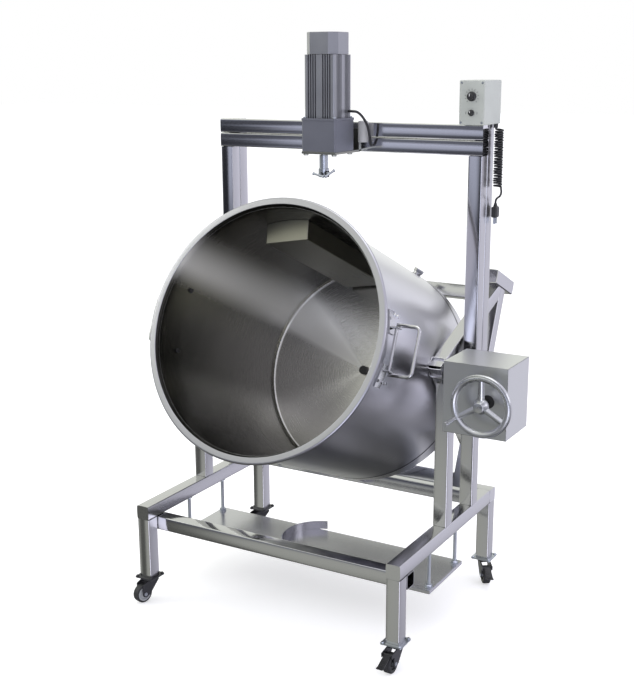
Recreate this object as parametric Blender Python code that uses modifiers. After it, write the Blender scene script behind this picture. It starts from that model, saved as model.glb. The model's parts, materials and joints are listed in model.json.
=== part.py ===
"""Tilting jacketed kettle with a gearmotor over it, on a wheeled frame of square tube.

Units are metres. Everything is laid out from the middle of the frame on the floor, with X to the
right, Y to the back and Z up, and build() then puts the origin under the middle of the whole object.
The kettle and all that tilts with it are modelled upright round the trunnion axis, and one empty on
that axis turns them forward to the pouring position.
"""
import math

import bmesh
import bpy
from mathutils import Matrix, Vector

# Square tube frame
TUBE = 0.038
TUBE_WALL = 0.0015
TUBE_CORNER = 0.003
FRAME_DEPTH = 0.594
RAIL_TOP = 0.273
# The middle of the whole object, seen from the middle of the frame
MIDDLE_X = 0.0879
MIDDLE_Y = 0.0456
SHORT_POST_Y = -0.017
TALL_POST_Y = 0.150
BACKING_BELOW_TIE = 0.009
# Fits
GAP = 0.0003
OVERRUN = 0.004
WELD_LAP = 0.0004
# Trunnions
TRUNNION_Y = 0.034
TRUNNION_DIAMETER = 0.026
TRUNNION_FLANGE = 0.044
TRUNNION_FLANGE_THICK = 0.0044
FLANGE_CLEARANCE = 0.0005
RAIL_CLEARANCE = 0.0102
TRUNNION_OVERHANG = 0.010
BEARING_LENGTH = 0.062
BEARING_ABOVE_AXIS = 0.022
TILT_AT_REST = 66.5
# Kettle
RIM_HEIGHT = 0.3324
KETTLE_SETBACK = -0.0057
POT_RADIUS = 0.2985
POT_DEPTH = 0.578
POT_WALL = 0.002
POT_CORNER = 0.016
LIP_FLARE = 0.0115
LIP_DEPTH = 0.030
LIP_EDGE_SHARE = 0.15
RIM_OVERHANG = 0.0205
RIM_ROLL = 0.011
RIM_SEAT = 0.0012
JACKET_SPACE = 0.005
JACKET_BOTTOM_SPACE = 0.030
JACKET_WALL = 0.002
BAND_HEIGHT = 0.055
BAND_GROOVE = 0.003
BAND_GROOVE_DEPTH = 0.0012
SWING_CLEARANCE = 0.0015
PIVOT_RADIUS = 0.011
PIVOT_HEIGHT = 0.012
PIVOT_TOP_SHARE = 0.6
PIVOT_CHAMFER = 0.0044
BAFFLE_WIDTH = 0.120
BAFFLE_DEPTH = 0.050
BAFFLE_START = 0.095
BAFFLE_FOOT = 0.018
BAFFLE_SHEET = 0.002
BAFFLE_TURN = -9.5
PORT_TURN = 24.0
PORT_RISE = 0.082
PORT_RADIUS = 0.013
PORT_LENGTH = 0.018
PORT_CAP_RADIUS = 0.017
PORT_CAP_LENGTH = 0.012
# Side handles
HANDLE_DEPTH = 0.072
HANDLE_SPAN = 0.118
HANDLE_REACH = 0.058
HANDLE_ROD = 0.009
HANDLE_CORNER = 0.010
PAD_SPAN = 0.184
PAD_WIDTH = 0.030
PAD_THICK = 0.003
EAR_THICK = 0.004
EAR_REACH = 0.016
EAR_WIDTH = 0.020
# Cradle of square tube round the kettle
CRADLE_INSET = 0.0283
ARM_TURN_REAR = 46.0
ARM_TURN_FRONT = 63.0
ARM_HEEL = 0.019
ARM_SPARE_SHARE = 1.5
LUG_LENGTH = 0.135
LUG_RISE = 0.052
# Tilting gear
WORM_OUT = 0.116
WORM_CENTRES = 0.0345
WORM_RADIUS = 0.0108
WORM_ROOT = 0.0082
WORM_TURNS = 5
WORM_LENGTH = 0.034
WORM_FLANK_SHARE = 6.0
WORM_SHAFT_RADIUS = 0.007
WHEEL_RADIUS = 0.0232
WHEEL_TEETH = 24
WHEEL_TOOTH = 0.0036
WHEEL_WIDTH = 0.020
BRACKET_SHEET = 0.006
BRACKET_INSET = 0.025
WORM_BLOCK_WIDTH = 0.044
WORM_BLOCK_THICK = 0.009
WORM_BLOCK_RISE = 0.014
COVER_WIDTH = 0.164
COVER_AHEAD = 0.109
COVER_BEHIND = 0.032
COVER_BELOW = 0.126
COVER_ABOVE = 0.051
COVER_SHEET = 0.0015
COVER_HOLE_RADIUS = 0.019
HANDWHEEL_AHEAD = 0.045
HANDWHEEL_RADIUS = 0.077
HANDWHEEL_ROD = 0.0068
HANDWHEEL_HUB_RADIUS = 0.0145
HANDWHEEL_HUB_LENGTH = 0.034
HUB_END_SHARE = 0.8
HUB_BELT_SHARE = 0.7
SPOKE_RADIUS = 0.0048
SPOKE_ROOT_RADIUS = 0.006
SPOKE_SET_BACK = 0.005
SPOKE_ROOT_SHARE = 0.85
SPOKES = 3
CRANK_RADIUS = 0.0062
CRANK_LENGTH = 0.058
CRANK_PIN_RADIUS = 0.0035
CRANK_HEAD = 0.002
CRANK_HEAD_RADIUS = 0.0056
CRANK_TOP_SHARE = 0.85
CRANK_FOOT_SHARE = 0.7
CRANK_SHOULDER_SHARES = (0.85, 0.3)
# Gearmotor
SHAFT_OFFSET = 0.0217
MOUNT_PLATE = 0.006
MOUNT_FLANGE = 0.060
GEARHEAD_SIDE = 0.099
GEARHEAD_HEIGHT = 0.0827
GEARHEAD_CORNER = 0.003
GEARHEAD_LIP = 0.006
GEARHEAD_LIP_STEP = 0.0015
GEARHEAD_LIP_CORNER = 0.0042
GEARHEAD_BORE_DEPTH = 0.050
MOTOR_SIDE = 0.088
STATOR_HEIGHT = 0.155
STATOR_CORNER = 0.012
FIN_SLOTS = 7
FIN_SLOT_DEPTH = 0.005
FIN_SLOT_SHARE = 0.42
FAN_COVER_HEIGHT = 0.054
FAN_COVER_CORNER = 0.019
FAN_COVER_STEP = 0.001
FAN_VENT_RADII = (0.0117, 0.026)
FAN_VENT_WIDTH = 0.006
FAN_VENT_DEPTH = 0.004
OUTPUT_RADIUS = 0.0075
NECK_RADIUS = 0.0112
NECK_LENGTH = 0.034
NECK_BELOW_PLATE = 0.003
SLEEVE_RADIUS = 0.0135
SLEEVE_LENGTH = 0.0218
SLEEVE_SLOT = 0.007
SLEEVE_SLOT_RISE = 0.016
SLEEVE_SLOT_TURN = 5.0
CLAMP_SCREW_RADIUS = 0.003
CLAMP_BAR_RADIUS = 0.0022
CLAMP_BAR = 0.031
CLAMP_REACH = 0.034
CLAMP_TURNS = (-84.0, -34.0)
CLAMP_LEANS = (-13.0, 30.0)
CLAMP_HEIGHT_SHARES = (0.36, 0.52)
CAPACITOR_RADIUS = 0.0135
CAPACITOR_SHOULDER = 0.0027
CAPACITOR_TOP_SHARE = 0.9
CAPACITOR_X = 0.066
CAPACITOR_LENGTH = 0.054
CAPACITOR_RISE = 0.026
CABLE_RADIUS = 0.0033
# Control box and its curly cord
BOX_WIDTH = 0.066
BOX_DEPTH = 0.109
BOX_OVERHANG = 0.014
BOX_AHEAD = 0.050
BOX_HEIGHT = 0.106
BOX_CORNER = 0.003
SPEED_KNOB_RADIUS = 0.0115
SPEED_KNOB_LENGTH = 0.016
SPEED_KNOB_BELOW = 0.038
SWITCH_KNOB_RADIUS = 0.0075
SWITCH_KNOB_LENGTH = 0.012
SWITCH_KNOB_BELOW = 0.077
KNOB_STEM_RADIUS = 0.003
KNOB_STEM_LENGTH = 0.003
KNOB_NECK_SHARE = 0.62
KNOB_WAIST_SHARE = 0.70
KNOB_SKIRT_SHARES = (0.35, 0.30)
KNOB_RIDGE_SHARES = (0.10, 0.90)
KNOB_RIDGE_RISE = 0.0008
GLAND_FROM_RIGHT = 0.0065
GLAND_FROM_BACK = 0.014
GLAND_RADIUS = 0.0058
GLAND_LENGTH = 0.010
CORD_RADIUS = 0.0025
COIL_RADIUS = 0.0120
COIL_LENGTH = 0.148
PLUG_LENGTH = 0.036
PLUG_WIDTH = 0.022
PLUG_THICK = 0.015
PLUG_PIN_LENGTH = 0.016
PLUG_PIN_WIDTH = 0.006
PLUG_PIN_THICK = 0.0016
PLUG_PIN_SPACING = 0.011
# Burner tray
TRAY_MARGIN = 0.012
TRAY_DEPTH = 0.204
TRAY_Y = -0.012
TRAY_TOP = 0.132
TRAY_SHEET = 0.002
TRAY_EDGE = 0.010
ROD_RADIUS = 0.005
ROD_INSET = 0.0215
ROD_BELOW_TRAY = 0.018
NUT_RADIUS = 0.009
NUT_HEIGHT = 0.008
GUARD_RADIUS = 0.105
GUARD_HEIGHT = 0.023
GUARD_SHEET = 0.002
GUARD_START = 108.0
GUARD_END = 205.0
# Castors
CASTOR_HEIGHT = 0.070
CASTOR_RADIUS = 0.025
CASTOR_WIDTH = 0.020
CASTOR_TRAIL = 0.026
CASTOR_PLATE = 0.056
CASTOR_PLATE_THICK = 0.0035
CASTOR_HEAD_RADIUS = 0.022
CASTOR_HEAD_THICK = 0.006
CROWN_SHARE = 0.8
CASTOR_PIN_RADIUS = 0.005
CASTOR_PIN_HEAD = 0.009
CASTOR_PIN_HEAD_THICK = 0.004
FORK_SHEET = 0.003
FORK_CLEARANCE = 0.0015
AXLE_RADIUS = 0.004
AXLE_END = 0.0012
FORK_EYE = 0.008
FORK_DROP = 0.006
WHEEL_HUB_SHARE = 0.45
WHEEL_WEB_SHARE = 0.75
WHEEL_DISH_SHARES = (0.72, 0.78)
WHEEL_SHOULDER_SHARE = 0.90
WHEEL_TREAD_SHARE = 0.55
PEDAL_WIDTH = 0.018
PEDAL_LENGTH = 0.040
PEDAL_THICK = 0.003
PEDAL_TOE = 0.010
PEDAL_TOE_START = 0.0388
PEDAL_PIN_RADIUS = 0.003
PEDAL_PIN_TURN = 62.0
PEDAL_LUG = 0.006
PEDAL_LUG_RISE = 0.0042
PEDAL_TURN = 24.0
CASTOR_TURNS = {
    "front_left": 255.0,
    "front_right": 270.0,
    "rear_left": 235.0,
    "rear_right": 305.0,
}
BRAKED = ("front_right", "rear_right")

# Places worked out from the sizes above
TILT = math.radians(TILT_AT_REST)
JACKET_RADIUS = POT_RADIUS + POT_WALL + JACKET_SPACE + JACKET_WALL
JACKET_DEPTH = POT_DEPTH + POT_WALL + JACKET_BOTTOM_SPACE + JACKET_WALL
LIP_RADIUS = POT_RADIUS + LIP_FLARE
RIM_RADIUS = JACKET_RADIUS + RIM_OVERHANG
JACKET_BOTTOM = RIM_HEIGHT - JACKET_DEPTH
POT_BOTTOM = RIM_HEIGHT - POT_DEPTH
CRADLE_INNER = JACKET_RADIUS + GAP
CRADLE_OUTER = CRADLE_INNER + TUBE
CRADLE_REACH = JACKET_RADIUS - CRADLE_INSET
BAR_TOP = JACKET_BOTTOM - GAP
BAR_BOTTOM = BAR_TOP - TUBE
INNER_X = CRADLE_OUTER + GAP + TRUNNION_FLANGE_THICK + FLANGE_CLEARANCE
OUTER_X = INNER_X + TUBE
POST_X = (INNER_X + OUTER_X) / 2
FRONT_Y = -FRAME_DEPTH / 2
BACK_Y = FRAME_DEPTH / 2
RAIL_BOTTOM = RAIL_TOP - TUBE
# The axis stands high enough for the cradle's front bar to clear the rear rail at rest
CRADLE_DROP = CRADLE_REACH * math.sin(TILT) - BAR_BOTTOM * math.cos(TILT)
TRUNNION_Z = RAIL_TOP + RAIL_CLEARANCE + CRADLE_DROP
TIE_TOP = TRUNNION_Z - TUBE / 2
BACKING_BOTTOM = TIE_TOP - TUBE - BACKING_BELOW_TIE
# The beam stands high enough for the rim to swing past under the coupling
ROLL_CENTRE_Y = RIM_RADIUS - RIM_ROLL / 2 + KETTLE_SETBACK
ROLL_CENTRE_Z = RIM_HEIGHT - RIM_ROLL / 2
RIM_SWING = math.hypot(ROLL_CENTRE_Y, ROLL_CENTRE_Z) + RIM_ROLL / 2
SLEEVE_BOTTOM = TRUNNION_Z + RIM_SWING + SWING_CLEARANCE
NECK_BOTTOM = SLEEVE_BOTTOM + SLEEVE_LENGTH
BEAM_BOTTOM = NECK_BOTTOM + NECK_LENGTH + NECK_BELOW_PLATE
BEAM_TOP = BEAM_BOTTOM + 2 * TUBE
BEAM_FRONT = TALL_POST_Y - TUBE / 2
BEAM_BACK = TALL_POST_Y + TUBE / 2
WORM_X = OUTER_X + WORM_OUT
WORM_Z = TRUNNION_Z - WORM_CENTRES
COVER_OUTER = OUTER_X + COVER_WIDTH
COVER_FRONT = TRUNNION_Y - COVER_AHEAD
COVER_BACK = TRUNNION_Y + COVER_BEHIND
COVER_BOTTOM = TRUNNION_Z - COVER_BELOW
COVER_TOP = TRUNNION_Z + COVER_ABOVE
BRACKET_FRONT = COVER_FRONT + BRACKET_INSET
HANDWHEEL_Y = COVER_FRONT - HANDWHEEL_AHEAD
SHAFT_Y = TRUNNION_Y + KETTLE_SETBACK
MOTOR_Y = SHAFT_Y + SHAFT_OFFSET
GEARHEAD_BOTTOM = BEAM_BOTTOM + MOUNT_PLATE + GAP
STATOR_BOTTOM = GEARHEAD_BOTTOM + GEARHEAD_HEIGHT
FAN_BOTTOM = STATOR_BOTTOM + STATOR_HEIGHT
BOX_RIGHT = OUTER_X + BOX_OVERHANG
BOX_LEFT = BOX_RIGHT - BOX_WIDTH
BOX_FRONT = TALL_POST_Y - BOX_AHEAD
BOX_BACK = BOX_FRONT + BOX_DEPTH
BOX_BOTTOM = BEAM_TOP + GAP
GLAND_X = BOX_RIGHT - GLAND_FROM_RIGHT
GLAND_Y = BOX_BACK - GLAND_FROM_BACK
ROUND = 32
SMALL_ROUND = 16

MATERIALS = {
    "polished_steel": ((0.62, 0.62, 0.64), 1.0, 0.16),
    "satin_steel": ((0.55, 0.55, 0.56), 1.0, 0.32),
    "zinc_steel": ((0.50, 0.52, 0.55), 1.0, 0.35),
    "bronze": ((0.55, 0.36, 0.15), 1.0, 0.35),
    "motor_paint": ((0.17, 0.18, 0.22), 0.2, 0.45),
    "motor_aluminium": ((0.42, 0.43, 0.44), 0.9, 0.40),
    "box_paint": ((0.60, 0.62, 0.58), 0.1, 0.45),
    "black_plastic": ((0.02, 0.02, 0.02), 0.0, 0.40),
    "black_paint": ((0.03, 0.03, 0.035), 0.2, 0.40),
    "castor_rubber": ((0.03, 0.03, 0.03), 0.0, 0.60),
    "grey_plastic": ((0.35, 0.36, 0.37), 0.0, 0.50),
    "cord_rubber": ((0.015, 0.015, 0.015), 0.0, 0.55),
    "cast_iron": ((0.08, 0.08, 0.085), 0.4, 0.55),
}


def clear_scene():
    """Remove whatever is in the file before modelling."""
    for obj in list(bpy.data.objects):
        bpy.data.objects.remove(obj, do_unlink=True)


def new_collection(name):
    """Make a collection under the scene's own."""
    made = bpy.data.collections.new(name)
    bpy.context.scene.collection.children.link(made)
    return made


def make_materials():
    """One Principled material for each finish."""
    made = {}
    for name, (colour, metallic, roughness) in MATERIALS.items():
        material = bpy.data.materials.new(name)
        material.use_nodes = True
        shader = material.node_tree.nodes["Principled BSDF"]
        shader.inputs["Base Color"].default_value = (*colour, 1.0)
        shader.inputs["Metallic"].default_value = metallic
        shader.inputs["Roughness"].default_value = roughness
        made[name] = material
    return made


clear_scene()
PARTS = new_collection("tilting_jacketed_kettle")
WORK = new_collection("working_shapes")
FINISH = make_materials()


def shape_from(bm, name="shape"):
    """Turn a bmesh into an object in the working collection."""
    mesh = bpy.data.meshes.new(name)
    bm.to_mesh(mesh)
    bm.free()
    obj = bpy.data.objects.new(name, mesh)
    WORK.objects.link(obj)
    return obj


def evaluated(obj):
    """The mesh of an object with its modifiers or its curve worked out."""
    bpy.context.view_layer.update()
    graph = bpy.context.evaluated_depsgraph_get()
    return bpy.data.meshes.new_from_object(obj.evaluated_get(graph))


def block(low, high, corner=0.0, along=None):
    """A box between two corners, its edges along one axis (or all of them) rounded."""
    low = Vector(low)
    high = Vector(high)
    bm = bmesh.new()
    bmesh.ops.create_cube(bm, size=1.0)
    bmesh.ops.scale(bm, vec=high - low, verts=bm.verts)
    bmesh.ops.translate(bm, vec=(low + high) / 2, verts=bm.verts)
    if corner:
        edges = list(bm.edges)
        if along is not None:
            edges = [e for e in edges if abs((e.verts[0].co - e.verts[1].co)[along]) > corner]
        bmesh.ops.bevel(bm, geom=edges, offset=corner, segments=2, profile=0.5,
                        affect="EDGES", material=-1)
    return shape_from(bm)


def cylinder(start, end, radius, end_radius=None, sides=ROUND):
    """A round bar between two points."""
    start = Vector(start)
    end = Vector(end)
    run = end - start
    bm = bmesh.new()
    bmesh.ops.create_cone(bm, cap_ends=True, segments=sides, radius1=radius,
                          radius2=radius if end_radius is None else end_radius, depth=run.length)
    turn = run.to_track_quat("Z", "Y").to_matrix().to_4x4()
    bmesh.ops.transform(bm, matrix=Matrix.Translation((start + end) / 2) @ turn, verts=bm.verts)
    return shape_from(bm)


def turned(profile, sides=ROUND):
    """A shape turned round Z from a profile of (radius, height), outer side top to bottom."""
    bm = bmesh.new()
    verts = [bm.verts.new((radius, 0.0, height)) for radius, height in profile]
    for first, second in zip(verts, verts[1:]):
        bm.edges.new((first, second))
    if profile[0][0] > 0.0 and profile[-1][0] > 0.0:
        bm.edges.new((verts[-1], verts[0]))
    obj = shape_from(bm)
    screw = obj.modifiers.new("turn", "SCREW")
    screw.axis = "Z"
    screw.steps = sides
    screw.render_steps = sides
    screw.use_merge_vertices = True
    screw.merge_threshold = 0.00001
    return settle(obj)


def settle(obj):
    """Replace an object by its evaluated mesh, with doubles merged."""
    mesh = evaluated(obj)
    bm = bmesh.new()
    bm.from_mesh(mesh)
    bmesh.ops.remove_doubles(bm, verts=bm.verts, dist=0.000005)
    bpy.data.meshes.remove(mesh)
    placed = obj.matrix_world.copy()
    bpy.data.objects.remove(obj, do_unlink=True)
    bmesh.ops.transform(bm, matrix=placed, verts=bm.verts)
    return shape_from(bm)


def outline(points, low, high, axis="Z"):
    """A flat closed outline pushed from low to high along an axis."""
    bm = bmesh.new()
    face = bm.faces.new([bm.verts.new((u, v, low)) for u, v in points])
    if face.normal.z > 0 or face.calc_area() == 0:
        face.normal_flip()
    grown = bmesh.ops.extrude_face_region(bm, geom=[face])
    top = [g for g in grown["geom"] if isinstance(g, bmesh.types.BMVert)]
    bmesh.ops.translate(bm, vec=(0.0, 0.0, high - low), verts=top)
    bmesh.ops.recalc_face_normals(bm, faces=bm.faces)
    if axis == "X":
        bmesh.ops.transform(bm, matrix=Matrix(((0, 0, 1, 0), (1, 0, 0, 0), (0, 1, 0, 0), (0, 0, 0, 1))),
                            verts=bm.verts)
    if axis == "Y":
        bmesh.ops.transform(bm, matrix=Matrix(((0, 1, 0, 0), (0, 0, 1, 0), (1, 0, 0, 0), (0, 0, 0, 1))),
                            verts=bm.verts)
    return shape_from(bm)


def wire(points, radius, sides_level=2, closed=False):
    """A round rod along points, as a bevelled curve made into a mesh."""
    curve = bpy.data.curves.new("wire", "CURVE")
    curve.dimensions = "3D"
    curve.bevel_depth = radius
    curve.bevel_resolution = sides_level
    curve.use_fill_caps = True
    spline = curve.splines.new("POLY")
    spline.points.add(len(points) - 1)
    for point, place in zip(spline.points, points):
        point.co = (*place, 1.0)
    spline.use_cyclic_u = closed
    obj = bpy.data.objects.new("wire", curve)
    WORK.objects.link(obj)
    return settle(obj)


def moved(obj, matrix):
    """Move a working shape by changing its mesh."""
    obj.data.transform(matrix)
    if matrix.determinant() < 0:
        obj.data.flip_normals()
    return obj


def boolean(base, others, operation):
    """Join the others to the base, or cut them from it, and use them up."""
    for other in others:
        step = base.modifiers.new(operation.lower(), "BOOLEAN")
        step.operation = operation
        step.solver = "EXACT"
        step.object = other
    made = settle(base)
    for other in others:
        bpy.data.objects.remove(other, do_unlink=True)
    return made


def join(base, *others):
    """One body from shapes that overlap."""
    return boolean(base, others, "UNION")


def cut(base, *others):
    """The base with the others taken out of it."""
    return boolean(base, others, "DIFFERENCE")


def keep(obj, name, finish, parent=None, pivot=(0.0, 0.0, 0.0)):
    """Name a finished piece, give it its finish and put its origin on its pivot."""
    pivot = Vector(pivot)
    obj.data.transform(Matrix.Translation(-pivot))
    obj.name = name
    obj.data.name = name
    obj.location = pivot
    obj.parent = parent
    WORK.objects.unlink(obj)
    PARTS.objects.link(obj)
    obj.data.materials.clear()
    obj.data.materials.append(FINISH[finish])
    obj.data.shade_smooth()
    obj.data.set_sharp_from_angle(angle=math.radians(32))
    return obj


def mirror_x(obj):
    """A mirrored copy of a working shape, on the other side of the frame."""
    twin = obj.copy()
    twin.data = obj.data.copy()
    WORK.objects.link(twin)
    return moved(twin, Matrix.Diagonal((-1, 1, 1, 1)))


def keep_pair(obj, name, finish, parent=None, pivot=(0.0, 0.0, 0.0)):
    """Keep a right-hand piece and its mirrored twin."""
    twin = mirror_x(obj)
    keep(obj, name + "_right", finish, parent, pivot)
    keep(twin, name + "_left", finish, parent, (-pivot[0], pivot[1], pivot[2]))


def square_tube(low, high, axis, closed_low=False, closed_high=False):
    """A hollow square tube along an axis, with a plate over each closed end."""
    outer = block(low, high, TUBE_CORNER, axis)
    inside_low = [value + TUBE_WALL for value in low]
    inside_high = [value - TUBE_WALL for value in high]
    inside_low[axis] = low[axis] + (TUBE_WALL if closed_low else -OVERRUN)
    inside_high[axis] = high[axis] - (TUBE_WALL if closed_high else -OVERRUN)
    return outer, block(inside_low, inside_high)


def hollow(low, high, axis, closed_low=False, closed_high=False):
    """A square tube by itself."""
    outer, inside = square_tube(low, high, axis, closed_low, closed_high)
    return cut(outer, inside)


def make_base():
    """Rails, legs and the two posts on each side."""
    rail = hollow((INNER_X, FRONT_Y, RAIL_BOTTOM), (OUTER_X, BACK_Y - TUBE - GAP, RAIL_TOP), 1,
                  closed_low=True)
    keep_pair(rail, "side_rail", "polished_steel")
    keep(hollow((-OUTER_X, FRONT_Y + TUBE + GAP, RAIL_BOTTOM - TUBE - GAP),
                (OUTER_X, FRONT_Y + 2 * TUBE + GAP, RAIL_BOTTOM - GAP), 0),
         "front_rail", "polished_steel")
    rear, rear_inside = square_tube((-OUTER_X, BACK_Y - TUBE, RAIL_BOTTOM), (OUTER_X, BACK_Y, RAIL_TOP), 0,
                                    closed_low=True)
    inner, inner_inside = square_tube((-INNER_X + GAP, BACK_Y - 2 * TUBE, RAIL_BOTTOM),
                                      (INNER_X - GAP, BACK_Y - TUBE + WELD_LAP, RAIL_TOP), 0)
    keep(cut(join(rear, inner), rear_inside, inner_inside), "rear_rail", "polished_steel")
    short = hollow((INNER_X, SHORT_POST_Y - TUBE / 2, RAIL_TOP + GAP),
                   (OUTER_X, SHORT_POST_Y + TUBE / 2, TIE_TOP), 2, closed_high=True)
    keep_pair(short, "short_post", "polished_steel")
    make_tall_posts()


def make_tall_posts():
    """A full tube up to the beam, a second one welded behind its upper part, and the tie."""
    front, front_inside = square_tube((INNER_X, BEAM_FRONT, RAIL_TOP + GAP),
                                      (OUTER_X, BEAM_BACK, BEAM_BOTTOM - GAP), 2)
    backing, backing_inside = square_tube((INNER_X, BEAM_BACK - WELD_LAP, BACKING_BOTTOM),
                                          (OUTER_X, BEAM_BACK + TUBE, BEAM_TOP), 2, closed_high=True)
    notch = block((INNER_X - OVERRUN, BEAM_FRONT, BEAM_BOTTOM - GAP),
                  (OUTER_X + OVERRUN, BEAM_BACK + GAP, BEAM_TOP + OVERRUN))
    tie, tie_inside = square_tube((INNER_X, SHORT_POST_Y + TUBE / 2 + GAP, TIE_TOP - TUBE),
                                  (OUTER_X, BEAM_FRONT + WELD_LAP, TIE_TOP), 1, closed_high=True)
    post = join(front, backing, tie)
    post = cut(post, front_inside, backing_inside, tie_inside, notch)
    keep_pair(post, "tall_post", "polished_steel")


def make_beam():
    """Two tubes, one on the other, across the tall posts."""
    lower, lower_inside = square_tube((-OUTER_X, BEAM_FRONT, BEAM_BOTTOM),
                                      (OUTER_X, BEAM_BACK, BEAM_BOTTOM + TUBE + WELD_LAP), 0,
                                      closed_high=True)
    upper, upper_inside = square_tube((-OUTER_X, BEAM_FRONT, BEAM_BOTTOM + TUBE),
                                      (OUTER_X, BEAM_BACK, BEAM_TOP), 0, closed_high=True)
    keep(cut(join(lower, upper), lower_inside, upper_inside), "beam", "polished_steel")


def make_legs_and_castors():
    """Four legs, each with its castor turned its own way."""
    for name, turn in CASTOR_TURNS.items():
        x = -POST_X if "left" in name else POST_X
        y = (FRONT_Y + TUBE / 2) if "front" in name else (BACK_Y - TUBE / 2)
        make_leg(name, x, y)
        make_castor(name, x, y, math.radians(turn))


def make_leg(name, x, y):
    """A leg with the castor's top plate welded under it."""
    half = TUBE / 2
    plate_half = CASTOR_PLATE / 2
    leg, inside = square_tube((x - half, y - half, CASTOR_HEIGHT - WELD_LAP),
                              (x + half, y + half, RAIL_BOTTOM - GAP), 2)
    inside_start = block((x - half, y - half, CASTOR_HEIGHT - OVERRUN),
                         (x + half, y + half, CASTOR_HEIGHT))
    inside = cut(inside, inside_start)
    plate = block((x - plate_half, y - plate_half, CASTOR_HEIGHT - CASTOR_PLATE_THICK),
                  (x + plate_half, y + plate_half, CASTOR_HEIGHT), TUBE_CORNER, 2)
    bore = cylinder((x, y, CASTOR_HEIGHT - CASTOR_PLATE_THICK - OVERRUN),
                    (x, y, CASTOR_HEIGHT + OVERRUN), CASTOR_PIN_RADIUS + GAP, sides=SMALL_ROUND)
    keep(cut(join(leg, plate), inside, bore), "leg_" + name, "polished_steel")


def make_castor(name, x, y, turn):
    """A swivelling fork, its wheel and, where there is one, its brake pedal."""
    swivel = bpy.data.objects.new("swivel_" + name, None)
    PARTS.objects.link(swivel)
    swivel.location = (x, y, 0.0)
    swivel.rotation_euler = (0.0, 0.0, turn)
    head_top = CASTOR_HEIGHT - CASTOR_PLATE_THICK - GAP
    head_bottom = head_top - CASTOR_HEAD_THICK
    half = CASTOR_WIDTH / 2 + FORK_CLEARANCE
    head = turned(((0.0, head_top), (CASTOR_HEAD_RADIUS, head_top), (CASTOR_HEAD_RADIUS, head_bottom),
                   (0.0, head_bottom)), SMALL_ROUND + 8)
    pin_head = CASTOR_HEIGHT + GAP
    pin = turned(((0.0, pin_head + CASTOR_PIN_HEAD_THICK), (CASTOR_PIN_HEAD, pin_head + CASTOR_PIN_HEAD_THICK),
                  (CASTOR_PIN_HEAD, pin_head), (CASTOR_PIN_RADIUS, pin_head),
                  (CASTOR_PIN_RADIUS, head_bottom + GAP), (0.0, head_bottom + GAP)), SMALL_ROUND)
    cheek_points = fork_outline(head_bottom, name in BRAKED)
    cheeks = [outline(cheek_points, side * half, side * (half + FORK_SHEET), "Y") for side in (-1, 1)]
    cheeks = [moved(cheek, Matrix(((0, 0, 1, 0), (0, 1, 0, 0), (1, 0, 0, 0), (0, 0, 0, 1))))
              for cheek in cheeks]
    crown_reach = CASTOR_HEAD_RADIUS * CROWN_SHARE
    crown = block((-crown_reach, -half - FORK_SHEET, head_bottom - FORK_SHEET),
                  (crown_reach, half + FORK_SHEET, head_bottom + GAP))
    axle_half = half + FORK_SHEET + AXLE_END
    axle = cylinder((CASTOR_TRAIL, -axle_half, CASTOR_RADIUS), (CASTOR_TRAIL, axle_half, CASTOR_RADIUS),
                    AXLE_RADIUS, sides=SMALL_ROUND)
    fork = join(head, pin, crown, *cheeks, axle)
    keep(fork, "castor_fork_" + name, "black_paint", swivel)
    make_wheel(name, swivel)
    if name in BRAKED:
        make_pedal(name, swivel, half)


def fork_outline(top, braked):
    """The cheek of a castor fork, wide at the crown, round at the axle and out to the pedal's pin."""
    reach = CASTOR_HEAD_RADIUS * CROWN_SHARE
    eye = [(CASTOR_TRAIL + FORK_EYE * math.cos(a), CASTOR_RADIUS + FORK_EYE * math.sin(a))
           for a in [math.radians(angle) for angle in (-150, -110, -70, -30, 10)]]
    shoulder = [(CASTOR_TRAIL + FORK_EYE, top - FORK_DROP)]
    if braked:
        pin_x, pin_z = pedal_pin()
        low = pin_z - PEDAL_LUG
        shoulder = [(CASTOR_TRAIL + FORK_EYE, low), (pin_x + PEDAL_LUG, low),
                    (pin_x + PEDAL_LUG, pin_z + PEDAL_LUG_RISE)]
    return [(-reach, top), (-reach, top - FORK_SHEET)] + eye + shoulder + [(reach, top)]


def make_wheel(name, swivel):
    """A castor wheel, crowned at the tread and dished at the hub."""
    half = CASTOR_WIDTH / 2
    bore = AXLE_RADIUS + GAP
    hub = CASTOR_RADIUS * WHEEL_HUB_SHARE
    web = half * WHEEL_WEB_SHARE
    dish, rise = [CASTOR_RADIUS * share for share in WHEEL_DISH_SHARES]
    shoulder = CASTOR_RADIUS * WHEEL_SHOULDER_SHARE
    tread = half * WHEEL_TREAD_SHARE
    wheel = turned(((bore, half), (hub, half), (hub, web), (dish, web), (rise, half), (shoulder, half),
                    (CASTOR_RADIUS, tread), (CASTOR_RADIUS, -tread), (shoulder, -half), (rise, -half),
                    (dish, -web), (hub, -web), (hub, -half), (bore, -half)), ROUND)
    moved(wheel, Matrix.Rotation(math.pi / 2, 4, "X"))
    place = (CASTOR_TRAIL, 0.0, CASTOR_RADIUS)
    moved(wheel, Matrix.Translation(place))
    keep(wheel, "castor_wheel_" + name, "castor_rubber", swivel, place)


def pedal_pin():
    """Where the pedal turns, between the cheeks beyond the wheel's top."""
    lift = CASTOR_RADIUS + PEDAL_PIN_RADIUS + FORK_CLEARANCE * 2
    angle = math.radians(PEDAL_PIN_TURN)
    return CASTOR_TRAIL + lift * math.cos(angle), CASTOR_RADIUS + lift * math.sin(angle)


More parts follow.
